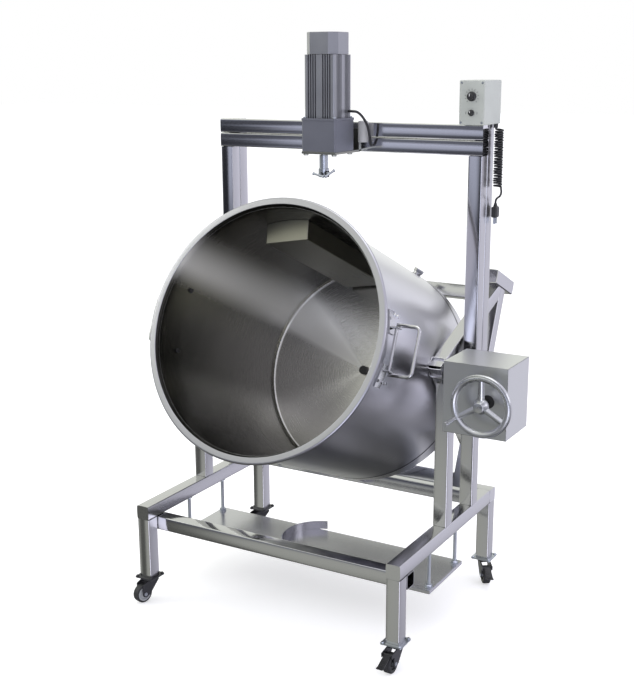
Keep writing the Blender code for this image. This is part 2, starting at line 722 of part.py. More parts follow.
def make_pedal(name, swivel, half):
    """The brake pedal: a bent plate on a pin between the cheeks."""
    x, z = pedal_pin()
    pin = cylinder((x, -half + GAP, z), (x, half - GAP, z), PEDAL_PIN_RADIUS, sides=SMALL_ROUND)
    plate = block((0.0, -PEDAL_WIDTH / 2, -PEDAL_THICK / 2), (PEDAL_LENGTH, PEDAL_WIDTH / 2, PEDAL_THICK / 2))
    moved(plate, Matrix.Translation((x, 0.0, z)) @ Matrix.Rotation(math.radians(PEDAL_TURN), 4, "Y"))
    toe = block((0.0, -PEDAL_WIDTH / 2, -PEDAL_THICK / 2), (PEDAL_TOE, PEDAL_WIDTH / 2, PEDAL_THICK / 2))
    moved(toe, Matrix.Translation((x, 0.0, z)) @ Matrix.Rotation(math.radians(PEDAL_TURN), 4, "Y")
          @ Matrix.Translation((PEDAL_TOE_START, 0.0, 0.0)) @ Matrix.Rotation(math.radians(-PEDAL_TURN), 4, "Y"))
    keep(join(pin, plate, toe), "brake_pedal_" + name, "black_paint", swivel, (x, 0.0, z))


def make_tray():
    """The hung burner tray with its folded edge, four threaded hangers and the wind guard."""
    half_x = POST_X + TRAY_MARGIN
    half_y = TRAY_DEPTH / 2
    tray = block((-half_x, TRAY_Y - half_y, TRAY_TOP - TRAY_EDGE), (half_x, TRAY_Y + half_y, TRAY_TOP))
    under = block((-half_x + TRAY_SHEET, TRAY_Y - half_y + TRAY_SHEET, TRAY_TOP - TRAY_EDGE - OVERRUN),
                  (half_x - TRAY_SHEET, TRAY_Y + half_y - TRAY_SHEET, TRAY_TOP - TRAY_SHEET))
    tray = cut(tray, under)
    hangers = []
    for x in (-POST_X, POST_X):
        for y in (TRAY_Y - half_y + ROD_INSET, TRAY_Y + half_y - ROD_INSET):
            hangers.append(cylinder((x, y, TRAY_TOP - ROD_BELOW_TRAY), (x, y, RAIL_BOTTOM - GAP), ROD_RADIUS,
                                    sides=12))
            for low in (RAIL_BOTTOM - GAP - NUT_HEIGHT, TRAY_TOP - WELD_LAP,
                        TRAY_TOP - TRAY_SHEET - NUT_HEIGHT + WELD_LAP):
                hangers.append(cylinder((x, y, low), (x, y, low + NUT_HEIGHT), NUT_RADIUS, sides=6))
    keep(join(tray, *hangers), "burner_tray", "satin_steel")
    keep(make_guard(), "wind_guard", "satin_steel")


def make_guard():
    """A strip bent to part of a ring, standing on the tray."""
    steps = 14
    angles = [math.radians(GUARD_START + (GUARD_END - GUARD_START) * i / steps) for i in range(steps + 1)]
    outer = [(GUARD_RADIUS * math.cos(a), GUARD_RADIUS * math.sin(a)) for a in angles]
    inner_radius = GUARD_RADIUS - GUARD_SHEET
    inner = [(inner_radius * math.cos(a), inner_radius * math.sin(a)) for a in reversed(angles)]
    return outline(outer + inner, TRAY_TOP + GAP, TRAY_TOP + GAP + GUARD_HEIGHT)


def make_trunnion_bearings():
    """A plain bearing block on each tie between the posts."""
    half = BEARING_LENGTH / 2
    back = TRUNNION_Y + half
    body = block((INNER_X, TRUNNION_Y - half, TIE_TOP + GAP), (OUTER_X, back, TRUNNION_Z + BEARING_ABOVE_AXIS),
                 TUBE_CORNER, 0)
    bore = cylinder((INNER_X - OVERRUN, TRUNNION_Y, TRUNNION_Z), (OUTER_X + OVERRUN, TRUNNION_Y, TRUNNION_Z),
                    TRUNNION_DIAMETER / 2 + GAP)
    keep_pair(cut(body, bore), "trunnion_bearing", "cast_iron")


def tilt_empty():
    """The empty on the trunnion axis that carries all that tilts."""
    empty = bpy.data.objects.new("tilt_axis", None)
    PARTS.objects.link(empty)
    empty.location = (0.0, TRUNNION_Y, TRUNNION_Z)
    empty.rotation_euler = (TILT, 0.0, 0.0)
    return empty


def on_kettle_axis(obj):
    """Move a shape turned round Z onto the kettle's own axis."""
    return moved(obj, Matrix.Translation((0.0, KETTLE_SETBACK, 0.0)))


def arc(centre_r, centre_z, radius, start, end, steps):
    """Points on a round stretch of a turned profile."""
    points = []
    for step in range(steps + 1):
        angle = math.radians(start + (end - start) * step / steps)
        points.append((centre_r + radius * math.cos(angle), centre_z + radius * math.sin(angle)))
    return points


def make_pot(tilt):
    """The inner pot: rolled rim, flared lip, straight wall, round corner and flat bottom."""
    top = RIM_HEIGHT
    roll = RIM_ROLL / 2
    outer_wall = POT_RADIUS + POT_WALL
    rim = [(LIP_RADIUS, top - RIM_ROLL * LIP_EDGE_SHARE), (LIP_RADIUS + roll, top)]
    rim += arc(RIM_RADIUS - roll, top - roll, roll, 90, -90, 6)
    neck_top = top - RIM_ROLL
    outer = [(outer_wall + RIM_SEAT, neck_top), (outer_wall, neck_top - POT_WALL * 2)]
    outer += arc(POT_RADIUS - POT_CORNER, POT_BOTTOM + POT_CORNER, POT_CORNER + POT_WALL, 0, -90, 4)
    outer += [(0.0, POT_BOTTOM - POT_WALL)]
    pivot_top = POT_BOTTOM + PIVOT_HEIGHT
    inner = [(0.0, pivot_top), (PIVOT_RADIUS * PIVOT_TOP_SHARE, pivot_top),
             (PIVOT_RADIUS, pivot_top - PIVOT_CHAMFER), (PIVOT_RADIUS, POT_BOTTOM)]
    inner += arc(POT_RADIUS - POT_CORNER, POT_BOTTOM + POT_CORNER, POT_CORNER, -90, 0, 4)
    inner += [(POT_RADIUS, top - LIP_DEPTH)]
    keep(on_kettle_axis(turned(inner + rim + outer, 64)), "inner_pot", "satin_steel", tilt)


def make_jacket(tilt):
    """The jacket: straight shell, a groove over the base band, and a flat bottom, with its port."""
    top = RIM_HEIGHT - RIM_ROLL - GAP
    inner = JACKET_RADIUS - JACKET_WALL
    band = JACKET_BOTTOM + BAND_HEIGHT
    groove = JACKET_RADIUS - BAND_GROOVE_DEPTH
    corner = BAND_GROOVE
    bottom = JACKET_BOTTOM
    profile = [(0.0, bottom + JACKET_WALL), (inner - corner, bottom + JACKET_WALL),
               (inner, bottom + JACKET_WALL + corner), (inner, top), (JACKET_RADIUS, top),
               (JACKET_RADIUS, band), (groove, band), (groove, band - BAND_GROOVE),
               (JACKET_RADIUS, band - BAND_GROOVE), (JACKET_RADIUS, bottom + corner),
               (JACKET_RADIUS - corner, bottom), (0.0, bottom)]
    shell = turned(profile, 64)
    place = Matrix.Rotation(math.radians(-PORT_TURN), 4, "Z")
    height = JACKET_BOTTOM + PORT_RISE
    neck_out = JACKET_RADIUS + PORT_LENGTH
    neck = cylinder((0.0, inner + JACKET_WALL / 2, height), (0.0, neck_out, height), PORT_RADIUS, sides=20)
    cap = cylinder((0.0, neck_out - PORT_CAP_LENGTH / 2, height), (0.0, neck_out + PORT_CAP_LENGTH / 2, height),
                   PORT_CAP_RADIUS, sides=6)
    shell = join(shell, moved(neck, place), moved(cap, place))
    keep(on_kettle_axis(shell), "jacket", "satin_steel", tilt)


def make_baffle(tilt):
    """The sheet-metal channel down the inside of the rear wall, its back open to the wall."""
    half = BAFFLE_WIDTH / 2
    top = RIM_HEIGHT - BAFFLE_START
    bottom = POT_BOTTOM + BAFFLE_FOOT
    face = math.sqrt(POT_RADIUS ** 2 - half ** 2) - BAFFLE_DEPTH
    body = block((-half, face, bottom), (half, POT_RADIUS + OVERRUN, top))
    inside = block((-half + BAFFLE_SHEET, face + BAFFLE_SHEET, bottom + BAFFLE_SHEET),
                   (half - BAFFLE_SHEET, POT_RADIUS + 2 * OVERRUN, top - BAFFLE_SHEET))
    wall = turned(((0.0, RIM_HEIGHT), (POT_RADIUS - GAP, RIM_HEIGHT), (POT_RADIUS - GAP, POT_BOTTOM),
                   (0.0, POT_BOTTOM)), 64)
    channel = moved(cut(body, inside), Matrix.Rotation(math.radians(-BAFFLE_TURN), 4, "Z"))
    channel = boolean(channel, [wall], "INTERSECT")
    keep(on_kettle_axis(channel), "baffle", "satin_steel", tilt)


def make_handles(tilt):
    """A pad with two ears on each side of the kettle, and the rod handle between the ears."""
    height = RIM_HEIGHT - HANDLE_DEPTH
    face = JACKET_RADIUS + GAP
    pad = block((face - PAD_THICK * 2, -PAD_SPAN / 2, height - PAD_WIDTH / 2),
                (face + PAD_THICK, PAD_SPAN / 2, height + PAD_WIDTH / 2), PAD_THICK, 0)
    shell = turned(((0.0, RIM_HEIGHT), (face, RIM_HEIGHT), (face, 0.0), (0.0, 0.0)), 64)
    bend = turned(((0.0, RIM_HEIGHT), (face + PAD_THICK, RIM_HEIGHT), (face + PAD_THICK, 0.0), (0.0, 0.0)), 64)
    pad = boolean(cut(pad, shell), [bend], "INTERSECT")
    pin_x = face + PAD_THICK + EAR_REACH / 2
    ear_y = HANDLE_SPAN / 2
    ears = []
    for side in (-1, 1):
        near = side * (ear_y - HANDLE_ROD / 2 - GAP)
        far = side * (ear_y - HANDLE_ROD / 2 - GAP - EAR_THICK)
        low_x = math.sqrt((face + PAD_THICK / 2) ** 2 - far ** 2)
        ears.append(block((low_x, min(near, far), height - EAR_WIDTH / 2),
                          (pin_x + EAR_REACH / 2, max(near, far), height + EAR_WIDTH / 2)))
    hole = cylinder((pin_x, -ear_y, height), (pin_x, ear_y, height), HANDLE_ROD / 2 + GAP, sides=SMALL_ROUND)
    bracket = cut(join(pad, *ears), hole)
    keep_pair(on_kettle_axis(bracket), "handle_bracket", "satin_steel", tilt)
    rod = handle_rod(pin_x, height, ear_y)
    keep_pair(on_kettle_axis(rod), "handle", "polished_steel", tilt, (pin_x, KETTLE_SETBACK, height))


def handle_rod(pin_x, height, span):
    """A closed rod: the pin through both ears, two arms and the grip, with round corners."""
    bend = HANDLE_CORNER
    outer = pin_x + HANDLE_REACH
    points = [(pin_x, -span), (pin_x, 0.0), (pin_x, span)]
    for centre_x, centre_y, start in ((outer - bend, span - bend, 90), (outer - bend, -span + bend, 0)):
        for step in range(5):
            angle = math.radians(start - 90 * step / 4)
            points.append((centre_x + bend * math.cos(angle), centre_y + bend * math.sin(angle)))
    return wire([(x, y, height) for x, y in points], HANDLE_ROD / 2, 2, closed=True)


def make_cradle(tilt):
    """The tube cradle: a side on each hand and two bars under the kettle."""
    rear = CRADLE_REACH
    front = -CRADLE_REACH
    bar, bar_inside = square_tube((CRADLE_INNER, front, BAR_BOTTOM), (CRADLE_OUTER, rear, BAR_TOP), 1,
                                  closed_low=True)
    solids = [bar]
    insides = [bar_inside]
    rear_arm, rear_inside = cradle_arm(math.radians(ARM_TURN_REAR), rear)
    front_arm, front_inside = cradle_arm(math.radians(ARM_TURN_FRONT), rear)
    bpy.data.objects.remove(front_inside, do_unlink=True)
    moved(front_arm, Matrix.Diagonal((1, -1, 1, 1)))
    solids += [rear_arm, front_arm]
    insides.append(rear_inside)
    lug_top = BAR_TOP + LUG_RISE
    lug, lug_inside = square_tube((CRADLE_INNER + OVERRUN, rear - WELD_LAP, lug_top - LUG_LENGTH),
                                  (CRADLE_OUTER + OVERRUN, rear + TUBE, lug_top), 2, closed_low=True)
    side = join(solids[0], *solids[1:], lug)
    side = cut(side, *insides, lug_inside)
    keep_pair(side, "cradle_side", "polished_steel", tilt)
    for name, low, high in (("cradle_bar_rear", rear - TUBE, rear), ("cradle_bar_front", front, front + TUBE)):
        keep(hollow((-CRADLE_INNER + GAP, low, BAR_BOTTOM), (CRADLE_INNER - GAP, high, BAR_TOP), 0),
             name, "polished_steel", tilt)


def cradle_arm(turn, end):
    """A slanted tube from the trunnion down to the side bar, trimmed flush at its foot."""
    length = -ARM_SPARE_SHARE * BAR_TOP / math.sin(turn)
    half = TUBE / 2
    arm, inside = square_tube((CRADLE_INNER, -ARM_HEEL, -half), (CRADLE_OUTER, length, half), 1,
                              closed_high=True)
    place = Matrix.Rotation(-turn, 4, "X")
    moved(arm, place)
    moved(inside, place)
    wide = CRADLE_OUTER * 2
    arm = cut(arm, block((0.0, -length, BAR_TOP - length), (wide, length * 2, BAR_TOP - WELD_LAP)),
              block((0.0, end, -length), (wide, end + length, length)))
    inside = cut(inside, block((0.0, -length, BAR_TOP - length), (wide, length * 2, BAR_TOP + TUBE_WALL)),
                 block((0.0, end - TUBE_WALL, -length), (wide, end + length, length)))
    return arm, inside


def make_trunnions(tilt):
    """A flanged stub shaft on each side; the right one carries the worm wheel."""
    left_end = OUTER_X + TRUNNION_OVERHANG
    right_end = WORM_X + WHEEL_WIDTH / 2 + TRUNNION_OVERHANG
    for name, side, end in (("trunnion_left", -1, left_end), ("trunnion_right", 1, right_end)):
        start = CRADLE_OUTER + GAP
        shaft = cylinder((side * start, 0, 0), (side * end, 0, 0), TRUNNION_DIAMETER / 2)
        flange = cylinder((side * start, 0, 0), (side * (start + TRUNNION_FLANGE_THICK), 0, 0), TRUNNION_FLANGE / 2)
        keep(join(shaft, flange), name, "satin_steel", tilt)
    wheel = make_worm_wheel()
    keep(wheel, "worm_wheel", "bronze", tilt)


def make_worm_wheel():
    """A toothed wheel on the right trunnion."""
    points = []
    root = WHEEL_RADIUS - WHEEL_TOOTH
    shares = ((0.00, root), (0.30, root), (0.42, WHEEL_RADIUS), (0.68, WHEEL_RADIUS), (0.80, root))
    for tooth in range(WHEEL_TEETH):
        for share, radius in shares:
            angle = 2 * math.pi * (tooth + share) / WHEEL_TEETH
            points.append((radius * math.cos(angle), radius * math.sin(angle)))
    wheel = outline(points, WORM_X - WHEEL_WIDTH / 2, WORM_X + WHEEL_WIDTH / 2, "X")
    bore = cylinder((WORM_X - WHEEL_WIDTH, 0, 0), (WORM_X + WHEEL_WIDTH, 0, 0), TRUNNION_DIAMETER / 2 + GAP)
    return cut(wheel, bore)


def make_tilt_gear():
    """Worm shaft, its bracket, the sheet cover, the handwheel and the crank handle."""
    make_worm_shaft()
    make_worm_bracket()
    make_gear_cover()
    make_handwheel()


def make_worm_shaft():
    """A shaft along Y with a helical thread cut where it meets the wheel."""
    rows = 36
    sides = 18
    bm = bmesh.new()
    bmesh.ops.create_grid(bm, x_segments=sides, y_segments=rows, size=0.5)
    for vert in bm.verts:
        angle = (vert.co.x + 0.5) * 2 * math.pi
        along = (vert.co.y + 0.5) * WORM_LENGTH
        phase = (along / WORM_LENGTH * WORM_TURNS + angle / (2 * math.pi)) % 1.0
        height = min(1.0, max(0.0, 2.0 - abs(phase - 0.5) * WORM_FLANK_SHARE))
        if along < WORM_LENGTH / rows or along > WORM_LENGTH * (1 - 1 / rows):
            height = 0.0
        radius = WORM_ROOT + (WORM_RADIUS - WORM_ROOT) * height
        vert.co = (radius * math.cos(angle), along - WORM_LENGTH / 2, radius * math.sin(angle))
    bmesh.ops.remove_doubles(bm, verts=bm.verts, dist=0.000005)
    bmesh.ops.holes_fill(bm, edges=[edge for edge in bm.edges if edge.is_boundary], sides=0)
    bmesh.ops.recalc_face_normals(bm, faces=bm.faces)
    thread = shape_from(bm)
    moved(thread, Matrix.Translation((WORM_X, TRUNNION_Y, WORM_Z)))
    front = HANDWHEEL_Y - HANDWHEEL_HUB_LENGTH / 2 + GAP
    back = COVER_BACK - COVER_SHEET - 2 * GAP
    shaft = cylinder((WORM_X, front, WORM_Z), (WORM_X, back, WORM_Z), WORM_SHAFT_RADIUS, sides=18)
    keep(join(thread, shaft), "worm_shaft", "satin_steel", None, (WORM_X, HANDWHEEL_Y, WORM_Z))


def make_worm_bracket():
    """A base plate off the post with two bearing blocks for the worm shaft."""
    low = WORM_Z - WORM_BLOCK_WIDTH / 2
    high = WORM_Z + WORM_BLOCK_WIDTH / 2
    back = COVER_BACK - COVER_SHEET - GAP
    left = WORM_X - WORM_BLOCK_WIDTH / 2
    right = WORM_X + WORM_BLOCK_WIDTH / 2
    base = block((OUTER_X + GAP, BRACKET_FRONT, low - BRACKET_SHEET), (right, back, low))
    front_block = block((left, BRACKET_FRONT, low - WELD_LAP), (right, BRACKET_FRONT + WORM_BLOCK_THICK, high))
    back_block = block((left, back - WORM_BLOCK_THICK, low - WELD_LAP), (right, back, WORM_Z + WORM_BLOCK_RISE))
    bore = cylinder((WORM_X, BRACKET_FRONT - OVERRUN, WORM_Z), (WORM_X, back + OVERRUN, WORM_Z),
                    WORM_SHAFT_RADIUS + GAP, sides=18)
    keep(cut(join(base, front_block, back_block), bore), "worm_bracket", "cast_iron")


def make_gear_cover():
    """A folded sheet box, open to the post, with a round hole for the handwheel shaft."""
    low = (OUTER_X + GAP, COVER_FRONT, COVER_BOTTOM)
    high = (COVER_OUTER, COVER_BACK, COVER_TOP)
    cover = block(low, high)
    inside = block((OUTER_X - OVERRUN, COVER_FRONT + COVER_SHEET, COVER_BOTTOM + COVER_SHEET),
                   (COVER_OUTER - COVER_SHEET, COVER_BACK - COVER_SHEET, COVER_TOP - COVER_SHEET))
    hole = cylinder((WORM_X, COVER_FRONT - OVERRUN, WORM_Z), (WORM_X, COVER_FRONT + OVERRUN, WORM_Z),
                    COVER_HOLE_RADIUS)
    keep(cut(cover, inside, hole), "gear_cover", "satin_steel")


def make_handwheel():
    """Hub, three spokes and a round rim, with the crank handle's pin on the rim."""
    half = HANDWHEEL_HUB_LENGTH / 2
    bore = WORM_SHAFT_RADIUS + GAP
    hub_end = HANDWHEEL_HUB_RADIUS * HUB_END_SHARE
    belt = half * HUB_BELT_SHARE
    hub = turned(((bore, half), (hub_end, half), (HANDWHEEL_HUB_RADIUS, belt), (HANDWHEEL_HUB_RADIUS, -belt),
                  (hub_end, -half), (bore, -half)), 24)
    centre = HANDWHEEL_RADIUS - HANDWHEEL_ROD
    ring = turned(arc(centre, 0.0, HANDWHEEL_ROD, 170, -150, 8), 48)
    spokes = []
    for index in range(SPOKES):
        angle = math.radians(90 + index * 360 / SPOKES)
        way = Vector((math.cos(angle), math.sin(angle), 0.0))
        root = way * (HANDWHEEL_HUB_RADIUS * SPOKE_ROOT_SHARE) - Vector((0.0, 0.0, SPOKE_SET_BACK))
        spokes.append(cylinder(root, way * centre, SPOKE_ROOT_RADIUS, SPOKE_RADIUS, sides=10))
    crank_angle = math.radians(90 + 360 / SPOKES)
    crank = Vector((math.cos(crank_angle), math.sin(crank_angle), 0.0)) * centre
    head_start = HANDWHEEL_ROD + CRANK_LENGTH + 2 * GAP
    pin = cylinder(crank, crank + Vector((0, 0, head_start + CRANK_HEAD)), CRANK_PIN_RADIUS, sides=12)
    head = cylinder(crank + Vector((0, 0, head_start)), crank + Vector((0, 0, head_start + CRANK_HEAD)),
                    CRANK_HEAD_RADIUS, sides=12)
    wheel = join(ring, hub, *spokes, pin, head)
    place = Matrix.Translation((WORM_X, HANDWHEEL_Y, WORM_Z)) @ Matrix.Rotation(math.pi / 2, 4, "X")
    keep(moved(wheel, place), "handwheel", "satin_steel", None, (WORM_X, HANDWHEEL_Y, WORM_Z))
    sleeve_start = HANDWHEEL_ROD + GAP
    sleeve_end = sleeve_start + CRANK_LENGTH
    inner = CRANK_PIN_RADIUS + GAP
    upper, lower = [sleeve_start + CRANK_LENGTH * share for share in CRANK_SHOULDER_SHARES]
    sleeve = turned(((inner, sleeve_end), (CRANK_RADIUS * CRANK_TOP_SHARE, sleeve_end), (CRANK_RADIUS, upper),
                     (CRANK_RADIUS, lower), (CRANK_RADIUS * CRANK_FOOT_SHARE, sleeve_start),
                     (inner, sleeve_start)), 16)
    moved(sleeve, place @ Matrix.Translation(crank))
    keep(sleeve, "crank_handle", "satin_steel", None, place @ crank)


def make_gearmotor():
    """Mounting bracket, gearhead, finned stator, fan cover, output shaft and its coupling."""
    half = GEARHEAD_SIDE / 2
    back = BEAM_FRONT - GAP
    top = BEAM_BOTTOM + MOUNT_PLATE
    plate = block((-half, MOTOR_Y - half, BEAM_BOTTOM), (half, back, top))
    flange = block((-half, back - MOUNT_PLATE, BEAM_BOTTOM), (half, back, BEAM_BOTTOM + MOUNT_FLANGE))
    plate = join(plate, flange)
    hole = cylinder((0, SHAFT_Y, BEAM_BOTTOM - OVERRUN), (0, SHAFT_Y, top + OVERRUN), NECK_RADIUS, sides=20)
    keep(cut(plate, hole), "motor_mount", "satin_steel")
    make_gearhead()
    make_stator()
    make_fan_cover()
    make_output()
    make_capacitor()


def square_block(side, low, high, corner):
    """A square block on the motor's centre line, its upright edges chamfered."""
    half = side / 2
    points = []
    for sign_x, sign_y, first in ((1, 1, "y"), (-1, 1, "x"), (-1, -1, "y"), (1, -1, "x")):
        on_x = (sign_x * half, MOTOR_Y + sign_y * (half - corner))
        on_y = (sign_x * (half - corner), MOTOR_Y + sign_y * half)
        points += [on_x, on_y] if first == "y" else [on_y, on_x]
    return outline(points, low, high)


def make_gearhead():
    """The cast gearhead with its lip at the top and a bored seat for the shaft."""
    body = square_block(GEARHEAD_SIDE, GEARHEAD_BOTTOM, STATOR_BOTTOM - GEARHEAD_LIP + WELD_LAP,
                        GEARHEAD_CORNER)
    lip = square_block(GEARHEAD_SIDE + 2 * GEARHEAD_LIP_STEP, STATOR_BOTTOM - GEARHEAD_LIP, STATOR_BOTTOM - GAP,
                       GEARHEAD_LIP_CORNER)
    bore = cylinder((0, SHAFT_Y, GEARHEAD_BOTTOM - OVERRUN), (0, SHAFT_Y, GEARHEAD_BOTTOM + GEARHEAD_BORE_DEPTH),
                    OUTPUT_RADIUS + GAP, sides=20)
    keep(cut(join(body, lip), bore), "gearhead", "motor_paint")


def make_stator():
    """The extruded motor body, with upright slots between its fins on all four sides."""
    half = MOTOR_SIDE / 2
    flat = half - STATOR_CORNER
    pitch = 2 * flat / FIN_SLOTS
    slot = pitch * FIN_SLOT_SHARE
    side = [(half, -flat)]
    for index in range(FIN_SLOTS):
        middle = -flat + pitch * (index + 0.5)
        side += [(half, middle - slot / 2), (half - FIN_SLOT_DEPTH, middle - slot / 2),
                 (half - FIN_SLOT_DEPTH, middle + slot / 2), (half, middle + slot / 2)]
    side.append((half, flat))
    points = []
    for turn in range(4):
        angle = turn * math.pi / 2
        points += [(x * math.cos(angle) - y * math.sin(angle),
                    MOTOR_Y + x * math.sin(angle) + y * math.cos(angle)) for x, y in side]
    keep(outline(points, STATOR_BOTTOM, FAN_BOTTOM - GAP), "motor_stator", "motor_aluminium")


def make_fan_cover():
    """The chamfered cap over the fan, with a ring of vent slots in its top."""
    top = FAN_BOTTOM + FAN_COVER_HEIGHT
    cover = square_block(MOTOR_SIDE + 2 * FAN_COVER_STEP, FAN_BOTTOM, top, FAN_COVER_CORNER)
    vents = []
    for radius in FAN_VENT_RADII:
        inner = radius - FAN_VENT_WIDTH / 2
        outer = radius + FAN_VENT_WIDTH / 2
        ring = turned(((outer, top + OVERRUN), (outer, top - FAN_VENT_DEPTH), (inner, top - FAN_VENT_DEPTH),
                       (inner, top + OVERRUN)), 28)
        vents.append(moved(ring, Matrix.Translation((0.0, MOTOR_Y, 0.0))))
    keep(cut(cover, *vents), "fan_cover", "motor_aluminium")


def make_output():
    """The output shaft and the stepped coupling on it, with its bayonet slot and two tommy screws."""
    shaft_top = GEARHEAD_BOTTOM + GEARHEAD_BORE_DEPTH - GAP
    shaft = cylinder((0, SHAFT_Y, shaft_top), (0, SHAFT_Y, NECK_BOTTOM), OUTPUT_RADIUS, sides=20)
    keep(shaft, "output_shaft", "satin_steel", None, (0.0, SHAFT_Y, GEARHEAD_BOTTOM))
    neck_top = NECK_BOTTOM + NECK_LENGTH
    bore = OUTPUT_RADIUS + GAP
    sleeve = turned(((bore, neck_top), (NECK_RADIUS, neck_top), (NECK_RADIUS, NECK_BOTTOM),
                     (SLEEVE_RADIUS, NECK_BOTTOM), (SLEEVE_RADIUS, SLEEVE_BOTTOM), (bore, SLEEVE_BOTTOM)), 24)
    slot = block((0.0, -SLEEVE_SLOT / 2, SLEEVE_BOTTOM - OVERRUN),
                 (SLEEVE_RADIUS + OVERRUN, SLEEVE_SLOT / 2, SLEEVE_BOTTOM + SLEEVE_SLOT_RISE))
    sleeve = cut(sleeve, moved(slot, Matrix.Rotation(math.radians(SLEEVE_SLOT_TURN), 4, "Z")))
    screws = []
    for turn, lean, share in zip(CLAMP_TURNS, CLAMP_LEANS, CLAMP_HEIGHT_SHARES):
        height = SLEEVE_BOTTOM + SLEEVE_LENGTH * share
        screw = cylinder((bore + WELD_LAP, 0.0, height), (CLAMP_REACH, 0.0, height), CLAMP_SCREW_RADIUS, sides=12)
        bar = cylinder((0.0, -CLAMP_BAR / 2, 0.0), (0.0, CLAMP_BAR / 2, 0.0), CLAMP_BAR_RADIUS, sides=10)
        moved(bar, Matrix.Translation((CLAMP_REACH, 0.0, height)) @ Matrix.Rotation(math.radians(lean), 4, "X"))
        around = Matrix.Rotation(math.radians(turn), 4, "Z")
        screws += [moved(screw, around), moved(bar, around)]
    sleeve = join(sleeve, *screws)
    moved(sleeve, Matrix.Translation((0.0, SHAFT_Y, 0.0)))
    keep(sleeve, "clamp_sleeve", "zinc_steel", None, (0.0, SHAFT_Y, GEARHEAD_BOTTOM))


def smooth_route(points, steps):
    """A smooth curve through the points of a route (Catmull-Rom)."""
    points = [Vector(point) for point in points]
    padded = [2 * points[0] - points[1]] + points + [2 * points[-1] - points[-2]]
    route = []
    for index in range(1, len(padded) - 2):
        before, start, end, after = padded[index - 1:index + 3]
        for step in range(steps):
            t = step / steps
            route.append(0.5 * (2 * start + (end - before) * t + (2 * before - 5 * start + 4 * end - after) * t * t
                                + (3 * start - before - 3 * end + after) * t ** 3))
    route.append(points[-1])
    return route


# From the lower front edge of the beam
MOTOR_CABLE_ROUTE = (
    (0.0446, -0.0530, 0.1045), (0.0540, -0.0530, 0.1045), (0.0680, -0.0480, 0.1020), (0.0790, -0.0400, 0.0890),
    (0.0860, -0.0300, 0.0690), (0.0880, -0.0220, 0.0450), (0.0870, -0.0135, 0.0240), (0.0860, -0.0075, 0.0185),
    (0.0860, -0.0005, 0.0185),
)


def make_capacitor():
    """The run capacitor against the beam, and the motor's short cable over it into the beam."""
    y = BEAM_FRONT - CAPACITOR_RADIUS - GAP
    low = BEAM_BOTTOM + CAPACITOR_RISE
    high = low + CAPACITOR_LENGTH
    body = turned(((0.0, high), (CAPACITOR_RADIUS * CAPACITOR_TOP_SHARE, high),
                   (CAPACITOR_RADIUS, high - CAPACITOR_SHOULDER), (CAPACITOR_RADIUS, low), (0.0, low)), 20)
    moved(body, Matrix.Translation((CAPACITOR_X, y, 0.0)))
    keep(body, "capacitor", "grey_plastic")
    edge = Vector((0.0, BEAM_FRONT, BEAM_BOTTOM))
    route = [edge + Vector(point) for point in MOTOR_CABLE_ROUTE]
    keep(wire(smooth_route(route, 5), CABLE_RADIUS, 2), "motor_cable", "cord_rubber")


def make_control_box():
    """The speed control box on the right post, its two knobs and the curly cord with its plug."""
    top = BOX_BOTTOM + BOX_HEIGHT
    case = block((BOX_LEFT, BOX_FRONT, BOX_BOTTOM), (BOX_RIGHT, BOX_BACK, top), BOX_CORNER)
    gland = cylinder((GLAND_X, GLAND_Y, BOX_BOTTOM + OVERRUN), (GLAND_X, GLAND_Y, BOX_BOTTOM - GLAND_LENGTH),
                     GLAND_RADIUS, sides=12)
    x = (BOX_LEFT + BOX_RIGHT) / 2
    stems = []
    for below, radius in ((SPEED_KNOB_BELOW, SPEED_KNOB_RADIUS), (SWITCH_KNOB_BELOW, SWITCH_KNOB_RADIUS)):
        stems.append(cylinder((x, BOX_FRONT + OVERRUN, top - below), (x, BOX_FRONT - KNOB_STEM_LENGTH, top - below),
                              KNOB_STEM_RADIUS, sides=12))
    keep(join(case, gland, *stems), "control_box", "box_paint")
    for name, below, radius, length in (("speed_knob", SPEED_KNOB_BELOW, SPEED_KNOB_RADIUS, SPEED_KNOB_LENGTH),
                                        ("switch_knob", SWITCH_KNOB_BELOW, SWITCH_KNOB_RADIUS, SWITCH_KNOB_LENGTH)):
        make_knob(name, x, top - below, radius, length)
    make_cord()


def make_knob(name, x, z, radius, length):
    """A skirted knob with a pointer ridge, over its stem."""
    stem = KNOB_STEM_RADIUS + GAP
    depth = KNOB_STEM_LENGTH + GAP
    waist, skirt = [length * share for share in KNOB_SKIRT_SHARES]
    knob = turned(((0.0, length), (radius * KNOB_NECK_SHARE, length), (radius * KNOB_WAIST_SHARE, waist),
                   (radius, skirt), (radius, GAP), (stem, GAP), (stem, depth), (0.0, depth)), 24)
    half, reach = [radius * share for share in KNOB_RIDGE_SHARES]
    ridge = block((-half, 0.0, skirt), (half, reach, length + KNOB_RIDGE_RISE))
    knob = join(knob, ridge)
    moved(knob, Matrix.Translation((x, BOX_FRONT, z)) @ Matrix.Rotation(math.pi / 2, 4, "X"))
    keep(knob, name, "black_plastic", None, (x, BOX_FRONT, z))


# From the lower end of the coil
CORD_TAIL_ROUTE = (
    (0.0, 0.0, 0.0), (0.0008, 0.0002, -0.0070), (0.0, 0.0008, -0.0140), (-0.0035, 0.0018, -0.0200),
    (-0.0085, 0.0030, -0.0235), (-0.0130, 0.0040, -0.0280), (-0.0150, 0.0045, -0.0340),
    (-0.0150, 0.0045, -0.0380),
)


